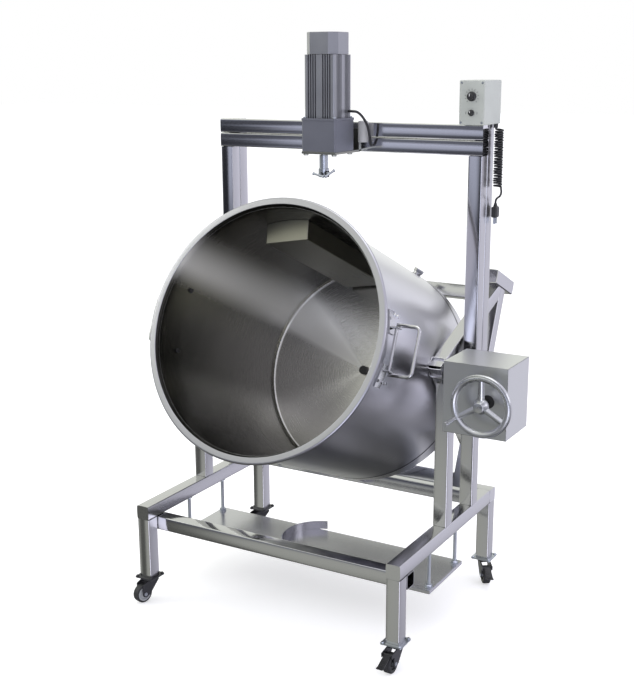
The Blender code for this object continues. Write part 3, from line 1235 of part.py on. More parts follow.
def make_cord():
    """The curly cord as its outer shape, its short tail and the plug that hangs on it."""
    coil_x = GLAND_X + COIL_RADIUS - CORD_RADIUS
    top = BOX_BOTTOM - GLAND_LENGTH - GAP
    bottom = top - COIL_LENGTH
    coil = wire([(coil_x, GLAND_Y, top - COIL_LENGTH * step / 12) for step in range(13)], COIL_RADIUS, 4)
    keep(coil, "cord_coil", "cord_rubber")
    start = Vector((coil_x + COIL_RADIUS - CORD_RADIUS, GLAND_Y, bottom - GAP))
    route = [start + Vector(point) for point in CORD_TAIL_ROUTE]
    keep(wire(smooth_route(route, 4), CORD_RADIUS, 2), "cord_tail", "cord_rubber")
    end = route[-1]
    high = end.z - GAP
    low = high - PLUG_LENGTH
    plug = block((end.x - PLUG_THICK / 2, end.y - PLUG_WIDTH / 2, low),
                 (end.x + PLUG_THICK / 2, end.y + PLUG_WIDTH / 2, high), TUBE_CORNER)
    pins = []
    for side in (-1, 1):
        y = end.y + side * PLUG_PIN_SPACING / 2
        pins.append(block((end.x - PLUG_PIN_WIDTH / 2, y - PLUG_PIN_THICK / 2, low - PLUG_PIN_LENGTH),
                          (end.x + PLUG_PIN_WIDTH / 2, y + PLUG_PIN_THICK / 2, low + OVERRUN)))
    keep(join(plug, *pins), "cord_plug", "black_plastic")


def build():
    """Make every piece of the kettle."""
    make_base()
    make_beam()
    make_legs_and_castors()
    make_tray()
    make_trunnion_bearings()
    tilt = tilt_empty()
    make_pot(tilt)
    make_jacket(tilt)
    make_baffle(tilt)
    make_handles(tilt)
    make_cradle(tilt)
    make_trunnions(tilt)
    make_tilt_gear()
    make_gearmotor()
    make_control_box()
    bpy.data.collections.remove(WORK)
    for obj in PARTS.objects:
        if obj.parent is None:
            obj.location -= Vector((MIDDLE_X, MIDDLE_Y, 0.0))


build()
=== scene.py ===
"""Looks of a tilting jacketed kettle under a stirrer gearmotor, on a wheeled stand of square tube.

Lengths are metres and turns are degrees. Places come from the frame's own solids. What tilts is modelled
upright round the trunnion axis and then turned to the pouring position by CRADLE or KETTLE.
"""
import json
import math

import bmesh
import bpy
from mathutils import Matrix, Vector


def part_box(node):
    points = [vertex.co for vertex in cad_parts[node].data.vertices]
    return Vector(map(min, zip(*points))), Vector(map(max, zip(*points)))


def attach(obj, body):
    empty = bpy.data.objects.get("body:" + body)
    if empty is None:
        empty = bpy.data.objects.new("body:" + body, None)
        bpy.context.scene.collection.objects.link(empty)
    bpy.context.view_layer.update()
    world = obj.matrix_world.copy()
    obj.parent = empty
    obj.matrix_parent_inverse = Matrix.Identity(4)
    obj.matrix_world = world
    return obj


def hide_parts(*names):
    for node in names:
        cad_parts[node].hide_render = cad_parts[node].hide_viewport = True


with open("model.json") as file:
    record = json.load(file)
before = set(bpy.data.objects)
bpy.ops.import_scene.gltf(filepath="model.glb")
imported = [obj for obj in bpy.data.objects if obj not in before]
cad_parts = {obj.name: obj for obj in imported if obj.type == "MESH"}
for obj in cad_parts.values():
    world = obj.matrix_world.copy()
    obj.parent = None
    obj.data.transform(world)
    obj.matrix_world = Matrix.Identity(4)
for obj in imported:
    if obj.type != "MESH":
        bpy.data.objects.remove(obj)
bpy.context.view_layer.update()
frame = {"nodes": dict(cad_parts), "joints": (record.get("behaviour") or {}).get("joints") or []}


# Places


def low(node):
    """The lowest corner of a solid of the frame."""
    return Vector(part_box(node)[0])


def high(node):
    """The highest corner of a solid of the frame."""
    return Vector(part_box(node)[1])


def corners(node):
    """The lowest and the highest corner of a solid of the frame."""
    return low(node), high(node)


def joint_place(name):
    """Where a joint's axis stands."""
    return Vector(JOINTS[name]["pos_m"])


def moved_by(x, y, z):
    """The matrix of a move."""
    return Matrix.Translation((x, y, z))


def turned_by(degrees, axis):
    """The matrix of a turn round an axis."""
    return Matrix.Rotation(math.radians(degrees), 4, axis)


def mirrored(x, y, z):
    """The matrix that mirrors the axes given as -1."""
    return Matrix.Diagonal((x, y, z, 1))


JOINTS = {joint["name"]: joint for joint in frame["joints"]}
MIDDLE = Vector((
    (low("side_rail_left").x + high("side_rail_right").x) / 2,
    (low("side_rail_left").y + high("rear_rail").y) / 2,
    0.0,
))
TUBE = high("side_rail_right").x - low("side_rail_right").x
TILT_AXIS = joint_place("kettle_tilt")
KETTLE_SETBACK = -0.0057
CRADLE = Matrix.Translation(TILT_AXIS) @ turned_by(-JOINTS["kettle_tilt"]["range_deg"][0], "X")
KETTLE = CRADLE @ moved_by(0.0, KETTLE_SETBACK, 0.0)
CORNERS = ((-1, -1), (-1, 1), (1, -1), (1, 1))
SIDES = ((1, "right"), (-1, "left"))

# Tube
TUBE_CORNER = 0.0025
TUBE_CROWN = 0.0006
TUBE_STRIPS = 4
TUBE_WALL = 0.0015
TUBE_POCKET = 0.05
POCKET_TAPER = 0.00005
GAP = 0.0003
# Kettle, from the trunnion axis
RIM_HEIGHT = 0.3324
RIM_RADIUS = 0.328
RIM_ROLL = 0.011
LIP_RADIUS = 0.310
POT_RADIUS = 0.2985
POT_DEPTH = 0.578
POT_WALL = 0.002
POT_CORNER = 0.009
POT_BOTTOM = RIM_HEIGHT - POT_DEPTH
JACKET_RADIUS = 0.3075
JACKET_WALL = 0.002
JACKET_DEPTH = 0.612
JACKET_BOTTOM = RIM_HEIGHT - JACKET_DEPTH
KETTLE_SIDES = 192


# Shapes

FACING = 0.9
LEVEL = 0.000001
NORMAL_WEIGHT = 90
SHARP = 32


def round_edges(bm, edges, width, steps=2):
    """Round off some edges of a shape."""
    bmesh.ops.bevel(bm, geom=edges, offset=width, segments=steps, profile=0.5, affect="EDGES", material=-1)


def round_rims(bm, width):
    """Round the top and bottom rims of an upright plate."""
    heights = [v.co.z for v in bm.verts]
    ends = (min(heights), max(heights))
    rims = []
    for edge in bm.edges:
        first, second = (v.co.z for v in edge.verts)
        if abs(first - second) < LEVEL and any(abs(first - z) < LEVEL for z in ends):
            rims.append(edge)
    round_edges(bm, rims, width)


def runs_along(edge, axis):
    """Whether an edge runs along an axis."""
    run = edge.verts[1].co - edge.verts[0].co
    return abs(run[axis]) > FACING * run.length


def cube_shape(start, end, edge=0.0, steps=2, axis=None):
    """A box between two corners, with its edges (or those along one axis) rounded."""
    start = Vector(start)
    end = Vector(end)
    bm = bmesh.new()
    bmesh.ops.create_cube(bm, size=1.0)
    bmesh.ops.scale(bm, vec=end - start, verts=bm.verts)
    bmesh.ops.translate(bm, vec=(start + end) / 2, verts=bm.verts)
    if edge:
        round_edges(bm, [e for e in bm.edges if axis is None or runs_along(e, axis)], edge, steps)
    return bm


def sheet_shape(start, end, axis, side, sheet, edge):
    """A sheet along one side of a box: -1 for the lower end of an axis and 1 for the upper."""
    near = Vector(start)
    far = Vector(end)
    if side > 0:
        near[axis] = far[axis] - sheet
    else:
        far[axis] = near[axis] + sheet
    return cube_shape(near, far, edge)


def arc(centre_r, centre_z, radius, start, end, steps):
    """Points on a round stretch of a profile, from one angle to another."""
    angles = [math.radians(start + (end - start) * step / steps) for step in range(steps + 1)]
    return [(centre_r + radius * math.cos(angle), centre_z + radius * math.sin(angle)) for angle in angles]


def quarter_turned(points, quarter):
    """The points of an outline, turned round its middle by some quarters of a turn."""
    angle = quarter * math.pi / 2
    return [(x * math.cos(angle) - y * math.sin(angle), x * math.sin(angle) + y * math.cos(angle))
            for x, y in points]


def tube_outline(half_x, half_y):
    """The outline of a square tube: rounded corners, and sides that swell a little to the middle."""
    outline = []
    for quarter in range(4):
        across, along = (half_x, half_y) if quarter % 2 == 0 else (half_y, half_x)
        flat = across - TUBE_CROWN
        reach = along - TUBE_CROWN - TUBE_CORNER
        shares = [step / TUBE_STRIPS for step in range(-TUBE_STRIPS, TUBE_STRIPS)]
        side = [(flat + TUBE_CROWN * (1.0 - share * share), share * reach) for share in shares]
        side += arc(flat - TUBE_CORNER, reach, TUBE_CORNER, 0, 90, 4)[:-1]
        outline += quarter_turned(side, quarter)
    return outline


def tube_shape(start, end, axis, open_start=True, open_end=True):
    """A square tube. An open end shows its wall and the hollow behind it."""
    start = Vector(start)
    end = Vector(end)
    half = (end - start) / 2
    first = (axis + 1) % 3
    second = (axis + 2) % 3
    bm = plate_shape(tube_outline(half[first], half[second]), -half[axis], half[axis])
    turn = Matrix([[0.0] * 4 for _ in range(4)])
    turn[first][0] = turn[second][1] = turn[axis][2] = turn[3][3] = 1.0
    bm.transform(Matrix.Translation((start + end) / 2) @ turn)
    bm.normal_update()
    for side, is_open in ((-1, open_start), (1, open_end)):
        ends = [face for face in bm.faces if face.normal[axis] * side > FACING]
        if is_open:
            bmesh.ops.inset_individual(bm, faces=ends, thickness=TUBE_WALL, use_even_offset=True)
            bmesh.ops.inset_individual(bm, faces=ends, thickness=POCKET_TAPER, depth=-TUBE_POCKET)
    return bm


def bar_shape(start, end, radius, end_radius=None, sides=32, edge=0.0):
    """A round or many-sided bar between two points."""
    start = Vector(start)
    end = Vector(end)
    run = end - start
    bm = bmesh.new()
    bmesh.ops.create_cone(bm, cap_ends=True, segments=sides, radius1=radius,
                          radius2=radius if end_radius is None else end_radius, depth=run.length)
    if edge:
        round_edges(bm, [e for e in bm.edges if abs(e.verts[0].co.z - e.verts[1].co.z) < edge], edge)
    bm.transform(Matrix.Translation((start + end) / 2) @ run.to_track_quat("Z", "Y").to_matrix().to_4x4())
    return bm


def post_shape(x, y, start, end, radius, sides=32, edge=0.0):
    """An upright bar from one height to another."""
    return bar_shape((x, y, start), (x, y, end), radius, sides=sides, edge=edge)


def corner_posts(centre, reach, start, end, radius, sides, edge):
    """Four upright bars, one to each corner round a centre."""
    return [post_shape(centre.x + x * reach, centre.y + y * reach, start, end, radius, sides, edge)
            for x, y in CORNERS]


def turned_shape(profile, sides=64, closed=False):
    """A shape spun round Z from a profile of (radius, height)."""
    bm = bmesh.new()
    verts = [bm.verts.new((radius, 0.0, height)) for radius, height in profile]
    edges = [bm.edges.new(pair) for pair in zip(verts, verts[1:])]
    if closed:
        edges.append(bm.edges.new((verts[-1], verts[0])))
    bmesh.ops.spin(bm, geom=verts + edges, cent=(0, 0, 0), axis=(0, 0, 1), angle=math.tau, steps=sides,
                   use_merge=True)
    bmesh.ops.remove_doubles(bm, verts=bm.verts, dist=0.00001)
    bmesh.ops.recalc_face_normals(bm, faces=bm.faces)
    return bm


def plate_shape(points, start, end):
    """A flat outline in X and Y, pushed from one height to another."""
    bm = bmesh.new()
    face = bm.faces.new([bm.verts.new((x, y, start)) for x, y in points])
    grown = bmesh.ops.extrude_face_region(bm, geom=[face])
    moved = [item for item in grown["geom"] if isinstance(item, bmesh.types.BMVert)]
    bmesh.ops.translate(bm, vec=(0.0, 0.0, end - start), verts=moved)
    bmesh.ops.recalc_face_normals(bm, faces=bm.faces)
    return bm


def rod_shape(points, radius, sides=16, closed=False):
    """A round rod along points: a ring carried from point to point."""
    points = [Vector(point) for point in points]
    count = len(points)
    ways = []
    for index in range(count):
        before = points[index - 1] if closed or index else points[0]
        after = points[(index + 1) % count] if closed or index < count - 1 else points[-1]
        ways.append((after - before).normalized())
    bm = bmesh.new()
    ring = bmesh.ops.create_circle(bm, segments=sides, radius=radius)["verts"]
    turn = ways[0].to_track_quat("Z", "Y")
    bmesh.ops.transform(bm, matrix=Matrix.Translation(points[0]) @ turn.to_matrix().to_4x4(), verts=ring)
    first = list(bm.edges)
    edges = first
    for index in range(1, count):
        grown = bmesh.ops.extrude_edge_only(bm, edges=edges)["geom"]
        verts = [item for item in grown if isinstance(item, bmesh.types.BMVert)]
        edges = [item for item in grown if isinstance(item, bmesh.types.BMEdge)]
        twist = ways[index - 1].rotation_difference(ways[index]).to_matrix().to_4x4()
        bmesh.ops.transform(bm, matrix=Matrix.Translation(points[index]) @ twist
                            @ Matrix.Translation(-points[index - 1]), verts=verts)
    if closed:
        bmesh.ops.bridge_loops(bm, edges=first + edges)
    else:
        bmesh.ops.holes_fill(bm, edges=[e for e in bm.edges if e.is_boundary], sides=0)
    bmesh.ops.recalc_face_normals(bm, faces=bm.faces)
    return bm


def smooth_route(points, steps):
    """A smooth curve through the points of a route."""
    points = [Vector(point) for point in points]
    padded = [2 * points[0] - points[1]] + points + [2 * points[-1] - points[-2]]
    route = []
    for index in range(1, len(padded) - 2):
        before, start, end, after = padded[index - 1:index + 3]
        for step in range(steps):
            t = step / steps
            route.append(0.5 * (2 * start + (end - before) * t
                                + (2 * before - 5 * start + 4 * end - after) * t * t
                                + (3 * start - before - 3 * end + after) * t ** 3))
    route.append(points[-1])
    return route


def new_object(name, data):
    """An object in the scene's collection."""
    obj = bpy.data.objects.new(name, data)
    bpy.context.scene.collection.objects.link(obj)
    return obj


def weigh_normals(obj):
    """Let the large faces set the shading, so that sheet and tube stay flat up to their round edges."""
    weighted = obj.modifiers.new("weighted", "WEIGHTED_NORMAL")
    weighted.keep_sharp = True
    weighted.weight = NORMAL_WEIGHT
    bpy.context.view_layer.update()
    graph = bpy.context.evaluated_depsgraph_get()
    plain = obj.data
    mesh = bpy.data.meshes.new_from_object(obj.evaluated_get(graph))
    obj.modifiers.clear()
    obj.data = mesh
    bpy.data.meshes.remove(plain)
    mesh.name = obj.name


class Piece:
    """One shown piece, put together from shapes."""

    def __init__(self, *shapes, place=None):
        self.bm = bmesh.new()
        self.add(*shapes, place=place)

    def add(self, *shapes, place=None):
        """Take in shapes, carried to their place by a matrix."""
        for shape in shapes:
            if place is not None:
                shape.transform(place)
                if place.determinant() < 0:
                    bmesh.ops.reverse_faces(shape, faces=shape.faces)
            mesh = bpy.data.meshes.new("shape")
            shape.to_mesh(mesh)
            shape.free()
            self.bm.from_mesh(mesh)
            bpy.data.meshes.remove(mesh)
        return self

    def show(self, name, finish, body="frame", *nodes, sharp=SHARP):
        """Make the object, give it its finish and its body, and hide the solids that it stands for."""
        mesh = bpy.data.meshes.new(name)
        self.bm.to_mesh(mesh)
        self.bm.free()
        obj = new_object(name, mesh)
        mesh.materials.append(finish.material)
        mesh.shade_smooth()
        mesh.set_sharp_from_angle(angle=math.radians(sharp))
        weigh_normals(obj)
        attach(obj, body)
        if nodes:
            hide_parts(*nodes)
        return obj

    def stand_for(self, node, finish, body="frame", sharp=SHARP):
        """Show the piece in the place of its solid."""
        return self.show("shown_" + node, finish, body, node, sharp=sharp)


# Finishes


class Value:
    """A number that varies over a surface, held by the socket that gives it."""

    def __init__(self, graph, socket):
        self.graph = graph
        self.socket = socket

    def maths(self, operation, *parts):
        """One Math node on values or numbers."""
        return self.graph.maths(operation, *parts)

    def __add__(self, other):
        return self.maths("ADD", self, other)

    __radd__ = __add__

    def __sub__(self, other):
        return self.maths("SUBTRACT", self, other)

    def __rsub__(self, other):
        return self.maths("SUBTRACT", other, self)

    def __mul__(self, other):
        return self.maths("MULTIPLY", self, other)

    __rmul__ = __mul__

    def clamped(self):
        """The value held between 0 and 1."""
        return self.maths("MINIMUM", self.maths("MAXIMUM", self, 0.0), 1.0)

    def step(self, start, end):
        """A smooth step from 0 to 1 as the value goes from start to end."""
        settings = {"interpolation_type": "SMOOTHSTEP"}
        sockets = {"Value": self, "From Min": start, "From Max": end}
        return self.graph.node("ShaderNodeMapRange", settings, sockets)

    def within(self, start, full, fade, end):
        """1 from full to fade, with a smooth step up from start and down to end."""
        return self.step(start, full) * (1.0 - self.step(fade, end))


class Graph:
    """A node tree in the making."""

    def __init__(self, tree):
        self.tree = tree

    def node(self, kind, settings=None, sockets=None, output=0):
        """Make a node, with its settings first and then values or links for its sockets."""
        made = self.tree.nodes.new(kind)
        for name, value in (settings or {}).items():
            setattr(made, name, value)
        for name, value in (sockets or {}).items():
            self.link(value, made.inputs[name])
        return None if output is None else Value(self, made.outputs[output])

    def link(self, value, socket):
        """Set a socket to a number or link a value to it."""
        if isinstance(value, Value):
            self.tree.links.new(value.socket, socket)
        else:
            socket.default_value = value

    def maths(self, operation, *parts):
        """One Math node on values or numbers."""
        return self.node("ShaderNodeMath", {"operation": operation}, dict(enumerate(parts)))

    def noise(self, place, scale, detail=2.0, rough=0.5):
        """Noise of a scale in each direction, 0 to 1."""
        stretched = self.node("ShaderNodeMapping", None, {"Vector": place, "Scale": scale})
        return self.node("ShaderNodeTexNoise", None, {"Vector": stretched, "Scale": 1.0, "Detail": detail,
                                                      "Roughness": rough})

    def split(self, vector):
        """The three numbers of a vector."""
        made = self.tree.nodes.new("ShaderNodeSeparateXYZ")
        self.link(vector, made.inputs[0])
        return [Value(self, socket) for socket in made.outputs]

    def mix(self, factor, first, second):
        """A colour between two colours."""
        colours = {}
        for socket, colour in ((6, first), (7, second)):
            colours[socket] = colour if isinstance(colour, Value) else (*colour, 1.0)
        return self.node("ShaderNodeMix", {"data_type": "RGBA"}, {0: factor, **colours}, output=2)


class Finish(Graph):
    """A material in the making, tied to a slot of the record."""

    def __init__(self, name, slot, colour, metallic, roughness):
        self.slot = slot
        self.colour = colour
        self.roughness = roughness
        self.material = bpy.data.materials.new(name)
        self.material.use_nodes = True
        super().__init__(self.material.node_tree)
        self.shader = self.tree.nodes["Principled BSDF"]
        self.give("Base Color", (*colour, 1.0))
        self.give("Metallic", metallic)
        self.give("Roughness", roughness)

    def give(self, socket, value):
        """Set or link one of the shader's own sockets."""
        self.link(value, self.shader.inputs[socket])

    def place(self, matrix=None):
        """The place on the surface, in the frame's axes or in those that a matrix places."""
        place = self.node("ShaderNodeTexCoord", output="Object")
        if matrix is None:
            return place
        back = matrix.inverted()
        return self.node("ShaderNodeMapping", None, {"Vector": place, "Location": back.to_translation(),
                                                     "Rotation": back.to_euler()})

    def drift(self, cloud, tones):
        """The colour drifting between a darker and a lighter tone."""
        darker, lighter = tones
        return self.mix(cloud, [part * darker for part in self.colour],
                        [min(1.0, part * lighter) for part in self.colour])

    def bump(self, height, distance):
        """A bump from a height."""
        self.give("Normal", self.node("ShaderNodeBump", None, {"Height": height, "Distance": distance,
                                                               "Strength": 1.0}))


STEEL_TONES = (0.93, 1.05)
SHEET_TONES = (0.94, 1.05)
PAINT_TONES = (0.86, 1.12)
SMEARS = 3.0
TURNED_SPREAD = 0.08
GRAIN_PER_DEGREE = 0.01
CORNER_FADE = (POT_BOTTOM + POT_CORNER * 0.8, POT_BOTTOM + POT_CORNER * 1.6)
METAL_LOSS = 2.6
PEEL = 420.0
PEEL_DEPTH = 0.00006
PAINT_CLOUD = 14.0
PAINT_SPREAD = 0.12
# Scales of the grain, across it and along it
FINE = 900.0
LONG = 6.0
ALONG_X = (LONG, FINE, FINE)
ALONG_Y = (FINE, LONG, FINE)
ALONG_Z = (FINE, FINE, LONG)


def steel(name, slot, colour, roughness, grain, matrix=None, spread=0.05, depth=0.00002, cloud=SMEARS,
          sideways=0.0):
    """Ground or polished steel with its grain along one direction, rougher on its sideways faces."""
    finish = Finish(name, slot, colour, 1.0, roughness)
    place = finish.place(matrix)
    fine = finish.noise(place, grain, 3.0, 0.6)
    smears = finish.noise(place, (cloud,) * 3)
    rough = roughness + (fine - 0.5) * spread + (smears - 0.5) * spread * 2
    if sideways:
        facing = finish.split(finish.node("ShaderNodeTexCoord", output="Normal"))[0]
        rough = rough + facing.maths("ABSOLUTE", facing) * sideways
    finish.give("Roughness", rough)
    finish.give("Base Color", finish.drift(smears, STEEL_TONES))
    finish.bump(fine, depth)
    return finish


def turned_steel(name, colour, roughness, streaks=None, depth=0.00012):
    """Sheet ground round the kettle's axis, with bands of painted reflection and painted shade along it where
    streaks gives them.
    """
    finish = Finish(name, "satin_steel", colour, 1.0, roughness)
    place = finish.place(KETTLE)
    x, y, z = finish.split(place)
    radius = finish.maths("SQRT", x * x + y * y)
    turn = finish.maths("ARCTAN2", 0.0 - y, 0.0 - x) * (180.0 / math.pi) + 180.0
    around = finish.node("ShaderNodeCombineXYZ", None, {"X": radius, "Y": z, "Z": turn * GRAIN_PER_DEGREE})
    fine = finish.noise(around, ALONG_Z, 2.0, 0.6)
    smears = finish.noise(place, (SMEARS,) * 3)
    tone = finish.drift(smears, SHEET_TONES)
    rough = roughness + (fine - 0.5) * TURNED_SPREAD + (smears - 0.5) * TURNED_SPREAD
    if streaks is not None:
        # Painted reflection and painted shade: the base colour goes between the dark tone and the sheet's
        # tone by the angle round the axis.
        share, dark, rougher, foot = streaks(turn)
        corner = 1.0 - z.step(*CORNER_FADE)
        tone = finish.mix((share + corner * foot).clamped(), dark, tone)
        rough = rough + rougher
        finish.give("Metallic", 1.0 - rougher * METAL_LOSS)
    finish.give("Base Color", tone)
    finish.give("Roughness", rough)
    finish.bump(fine, depth)
    return finish


def inner_painted_reflections(turn):
    """Painted reflections inside the pot, by the angle from the right: the share of the bright painted
    reflection bands, the dark tone of the painted shade between them, the roughness to add and how much of
    its tone the bottom keeps."""
    # Bands of painted reflection: a bright one, a weak one and one on the right. The rest keeps the dark tone
    # of painted shade.
    bright = turn.within(129.0, 152.0, 152.0, 166.0)
    weak_painted_reflection = turn.within(198.0, 212.0, 214.0, 236.0)
    right = turn.step(290.0, 350.0) + (1.0 - turn.step(20.0, 70.0))
    share = (0.08 + bright * 0.92 + weak_painted_reflection * 0.20 + right * 0.34).clamped()
    return share, (0.115, 0.112, 0.10), bright * 0.15, 0.6


def outer_painted_reflections(turn):
    """The same four on the jacket: two painted dark reflections along the axis, no roughness to add and a
    plain bottom.
    """
    # Two stretches of painted dark reflection in a blue-grey tone, by the angle round the axis.
    dim_painted_reflection = turn.within(333.0, 342.0, 346.0, 354.0) * 0.35
    deep_painted_reflection = turn.within(282.0, 292.0, 303.0, 312.0) * 0.65
    return (1.0 - dim_painted_reflection - deep_painted_reflection).clamped(), (0.16, 0.165, 0.20), 0.0, 1.0


def painted(name, slot, colour, roughness, metallic=0.0):
    """Paint or plastic with a fine orange-peel skin and a little variation."""
    finish = Finish(name, slot, colour, metallic, roughness)
    place = finish.place()
    peel = finish.noise(place, (PEEL,) * 3)
    cloud = finish.noise(place, (PAINT_CLOUD,) * 3, 3.0)
    finish.give("Roughness", roughness + (cloud - 0.5) * PAINT_SPREAD)
    finish.give("Base Color", finish.drift(cloud, PAINT_TONES))
    finish.bump(peel, PEEL_DEPTH)
    return finish


STEEL = (0.57, 0.57, 0.575)
POLISHED = {
    0: steel("polished_tube_x", "polished_steel", STEEL, 0.09, ALONG_X),
    1: steel("polished_tube_y", "polished_steel", STEEL, 0.11, ALONG_Y, sideways=0.10),
    2: steel("polished_tube_z", "polished_steel", STEEL, 0.09, ALONG_Z, sideways=0.22),
}
POLISHED_CRADLE = steel("polished_cradle", "polished_steel", STEEL, 0.14, ALONG_Z, CRADLE)
BRIGHT = steel("bright_steel", "polished_steel", (0.52, 0.52, 0.52), 0.12, (FINE,) * 3)
# The kettle's outside and inside carry bands of painted reflection and painted shade.
KETTLE_OUTSIDE = turned_steel("kettle_outside", (0.66, 0.66, 0.68), 0.30, outer_painted_reflections, 0.00006)
KETTLE_INSIDE = turned_steel("kettle_inside", (0.84, 0.83, 0.78), 0.26, inner_painted_reflections)
KETTLE_RIM = turned_steel("kettle_rim", (0.45, 0.45, 0.47), 0.32)
# A much darker, olive copy of the satin steel: painted shade for the baffle inside the pot.
BAFFLE_PAINTED_SHADE = steel("baffle_painted_shade", "satin_steel", (0.27, 0.265, 0.22), 0.30, ALONG_Z, KETTLE, spread=0.06)
SHEET = steel("satin_sheet", "satin_steel", (0.66, 0.67, 0.66), 0.33, ALONG_Z, spread=0.06)
TRAY_STEEL = steel("tray_sheet", "satin_steel", (0.55, 0.55, 0.57), 0.25, ALONG_X, spread=0.06)
# A darker, olive copy of the satin steel: painted shade for the bracket in the gearhead's shadow.
MOUNT_PAINTED_SHADE = steel("mount_painted_shade", "satin_steel", (0.30, 0.30, 0.26), 0.30, ALONG_Z, spread=0.06)
CASTING = steel("cast_silver", "satin_steel", (0.60, 0.61, 0.61), 0.30, (60.0,) * 3, spread=0.12,
                depth=0.0001, cloud=9.0)
ZINC = steel("zinc_steel", "zinc_steel", (0.50, 0.53, 0.56), 0.32, (120.0,) * 3, spread=0.10)
MOTOR_PAINT = painted("motor_paint", "motor_paint", (0.135, 0.14, 0.165), 0.40, metallic=0.35)
MOTOR_BODY = painted("motor_body", "motor_aluminium", (0.29, 0.295, 0.31), 0.34, metallic=0.75)
BOX_PAINT = painted("box_paint", "box_paint", (0.40, 0.42, 0.39), 0.42)
WHITE_PRINT = painted("white_print", "box_paint", (0.80, 0.80, 0.80), 0.5)
BLACK_PLASTIC = painted("black_plastic", "black_plastic", (0.018, 0.018, 0.018), 0.38)
BLACK_PAINT = painted("black_paint", "black_paint", (0.022, 0.022, 0.025), 0.38)
RUBBER = painted("castor_rubber", "castor_rubber", (0.022, 0.022, 0.024), 0.58)
HUB_GREY = painted("hub_grey", "castor_rubber", (0.36, 0.37, 0.38), 0.45)
CORD_RUBBER = painted("cord_rubber", "cord_rubber", (0.014, 0.014, 0.015), 0.50)
GREY_PLASTIC = painted("grey_plastic", "grey_plastic", (0.42, 0.42, 0.42), 0.42)
IRON = painted("cast_iron", "cast_iron", (0.05, 0.05, 0.052), 0.5, metallic=0.6)
BRONZE = painted("bronze", "bronze", (0.55, 0.36, 0.15), 0.35, metallic=1.0)
# Flat black: painted shade for the gear cover's hole and the sleeve's slot. It is also the black of the ring
# over the base band's groove and of the sleeve's screw nuts.
BLACK_AND_PAINTED_SHADE = painted("black_and_painted_shade", "cast_iron", (0.012, 0.012, 0.012), 0.7)
PRINT = painted("printed_marks", "black_plastic", (0.03, 0.03, 0.03), 0.5)


# Stand

CASTOR_NAMES = ("front_left", "front_right", "rear_left", "rear_right")
BACK_TUBE_START = 0.600
PLATE_SHEET = 0.0035
PLATE_BOLT_REACH = 1.2
PLATE_BOLT_BELOW = 0.5
PLATE_BOLT_RISE = 0.003
PLATE_BOLT_RADIUS = 0.0042


def show_tube(node, axis, open_start=True, open_end=True):
    """A frame tube in the place of its solid."""
    Piece(tube_shape(*corners(node), axis, open_start, open_end)).stand_for(node, POLISHED[axis])


def make_stand():
    """Rails, legs, posts and the beam."""
    for side in ("left", "right"):
        show_tube("side_rail_" + side, 1, open_start=False)
        show_tube("short_post_" + side, 2, open_end=False)
        make_tall_post(side)
    show_tube("front_rail", 0)
    make_rear_rail()
    make_beam()
    for name in CASTOR_NAMES:
        make_leg(name)


def make_rear_rail():
    """Two tubes side by side, the inner one between the side rails."""
    start, end = corners("rear_rail")
    inner_start = (high("side_rail_left").x + GAP, start.y, start.z)
    inner_end = (low("side_rail_right").x - GAP, start.y + TUBE - GAP, end.z)
    outer = tube_shape((start.x, start.y + TUBE, start.z), end, 0, open_start=False, open_end=False)
    Piece(outer, tube_shape(inner_start, inner_end, 0)).stand_for("rear_rail", POLISHED[0])


def make_tall_post(side):
    """The front tube up to the beam, the tube behind its upper part and the tie to the short post."""
    node = "tall_post_" + side
    start, end = corners(node)
    beam = low("beam")
    tie_top = high("short_post_" + side).z
    Piece(
        tube_shape((start.x, beam.y, start.z), (end.x, beam.y + TUBE - GAP, beam.z - GAP), 2),
        tube_shape((start.x, beam.y + TUBE, BACK_TUBE_START), end, 2, open_end=False),
        tube_shape((start.x, start.y, tie_top - TUBE), (end.x, beam.y - GAP, tie_top), 1),
    ).stand_for(node, POLISHED[2])


def make_beam():
    """Two tubes, one on the other."""
    start, end = corners("beam")
    middle = (start.z + end.z) / 2
    lower = tube_shape(start, (end.x, end.y, middle - GAP), 0, open_end=False)
    upper = tube_shape((start.x, start.y, middle + GAP), end, 0, open_end=False)
    Piece(lower, upper).stand_for("beam", POLISHED[0])


def make_leg(name):
    """A leg and the castor's top plate under it."""
    node = "leg_" + name
    start, end = corners(node)
    middle = (start + end) / 2
    half = TUBE / 2
    top = start.z + PLATE_SHEET
    tube = tube_shape((middle.x - half, middle.y - half, top + GAP),
                      (middle.x + half, middle.y + half, end.z), 2)
    Piece(tube).stand_for(node, POLISHED[2])
    plate = Piece(cube_shape(start, (end.x, end.y, top), edge=TUBE_CORNER, steps=3, axis=2))
    plate.add(*corner_posts(middle, half * PLATE_BOLT_REACH, start.z - PLATE_SHEET * PLATE_BOLT_BELOW,
                            top + PLATE_BOLT_RISE, PLATE_BOLT_RADIUS, sides=6, edge=0.0004))
    plate.show("castor_plate_" + name, ZINC if "right" in name else BLACK_PAINT)


# Castors

BRAKED = ("front_right", "rear_right")
CASTOR_RADIUS = 0.025
CASTOR_WIDTH = 0.020
CASTOR_TRAIL = 0.026
FORK_SHEET = 0.003
FORK_HALF = CASTOR_WIDTH / 2 + 0.0015
FORK_CROWN = 0.0602
CROWN_HALF = 0.0176
RACEWAY_RADIUS = 0.022
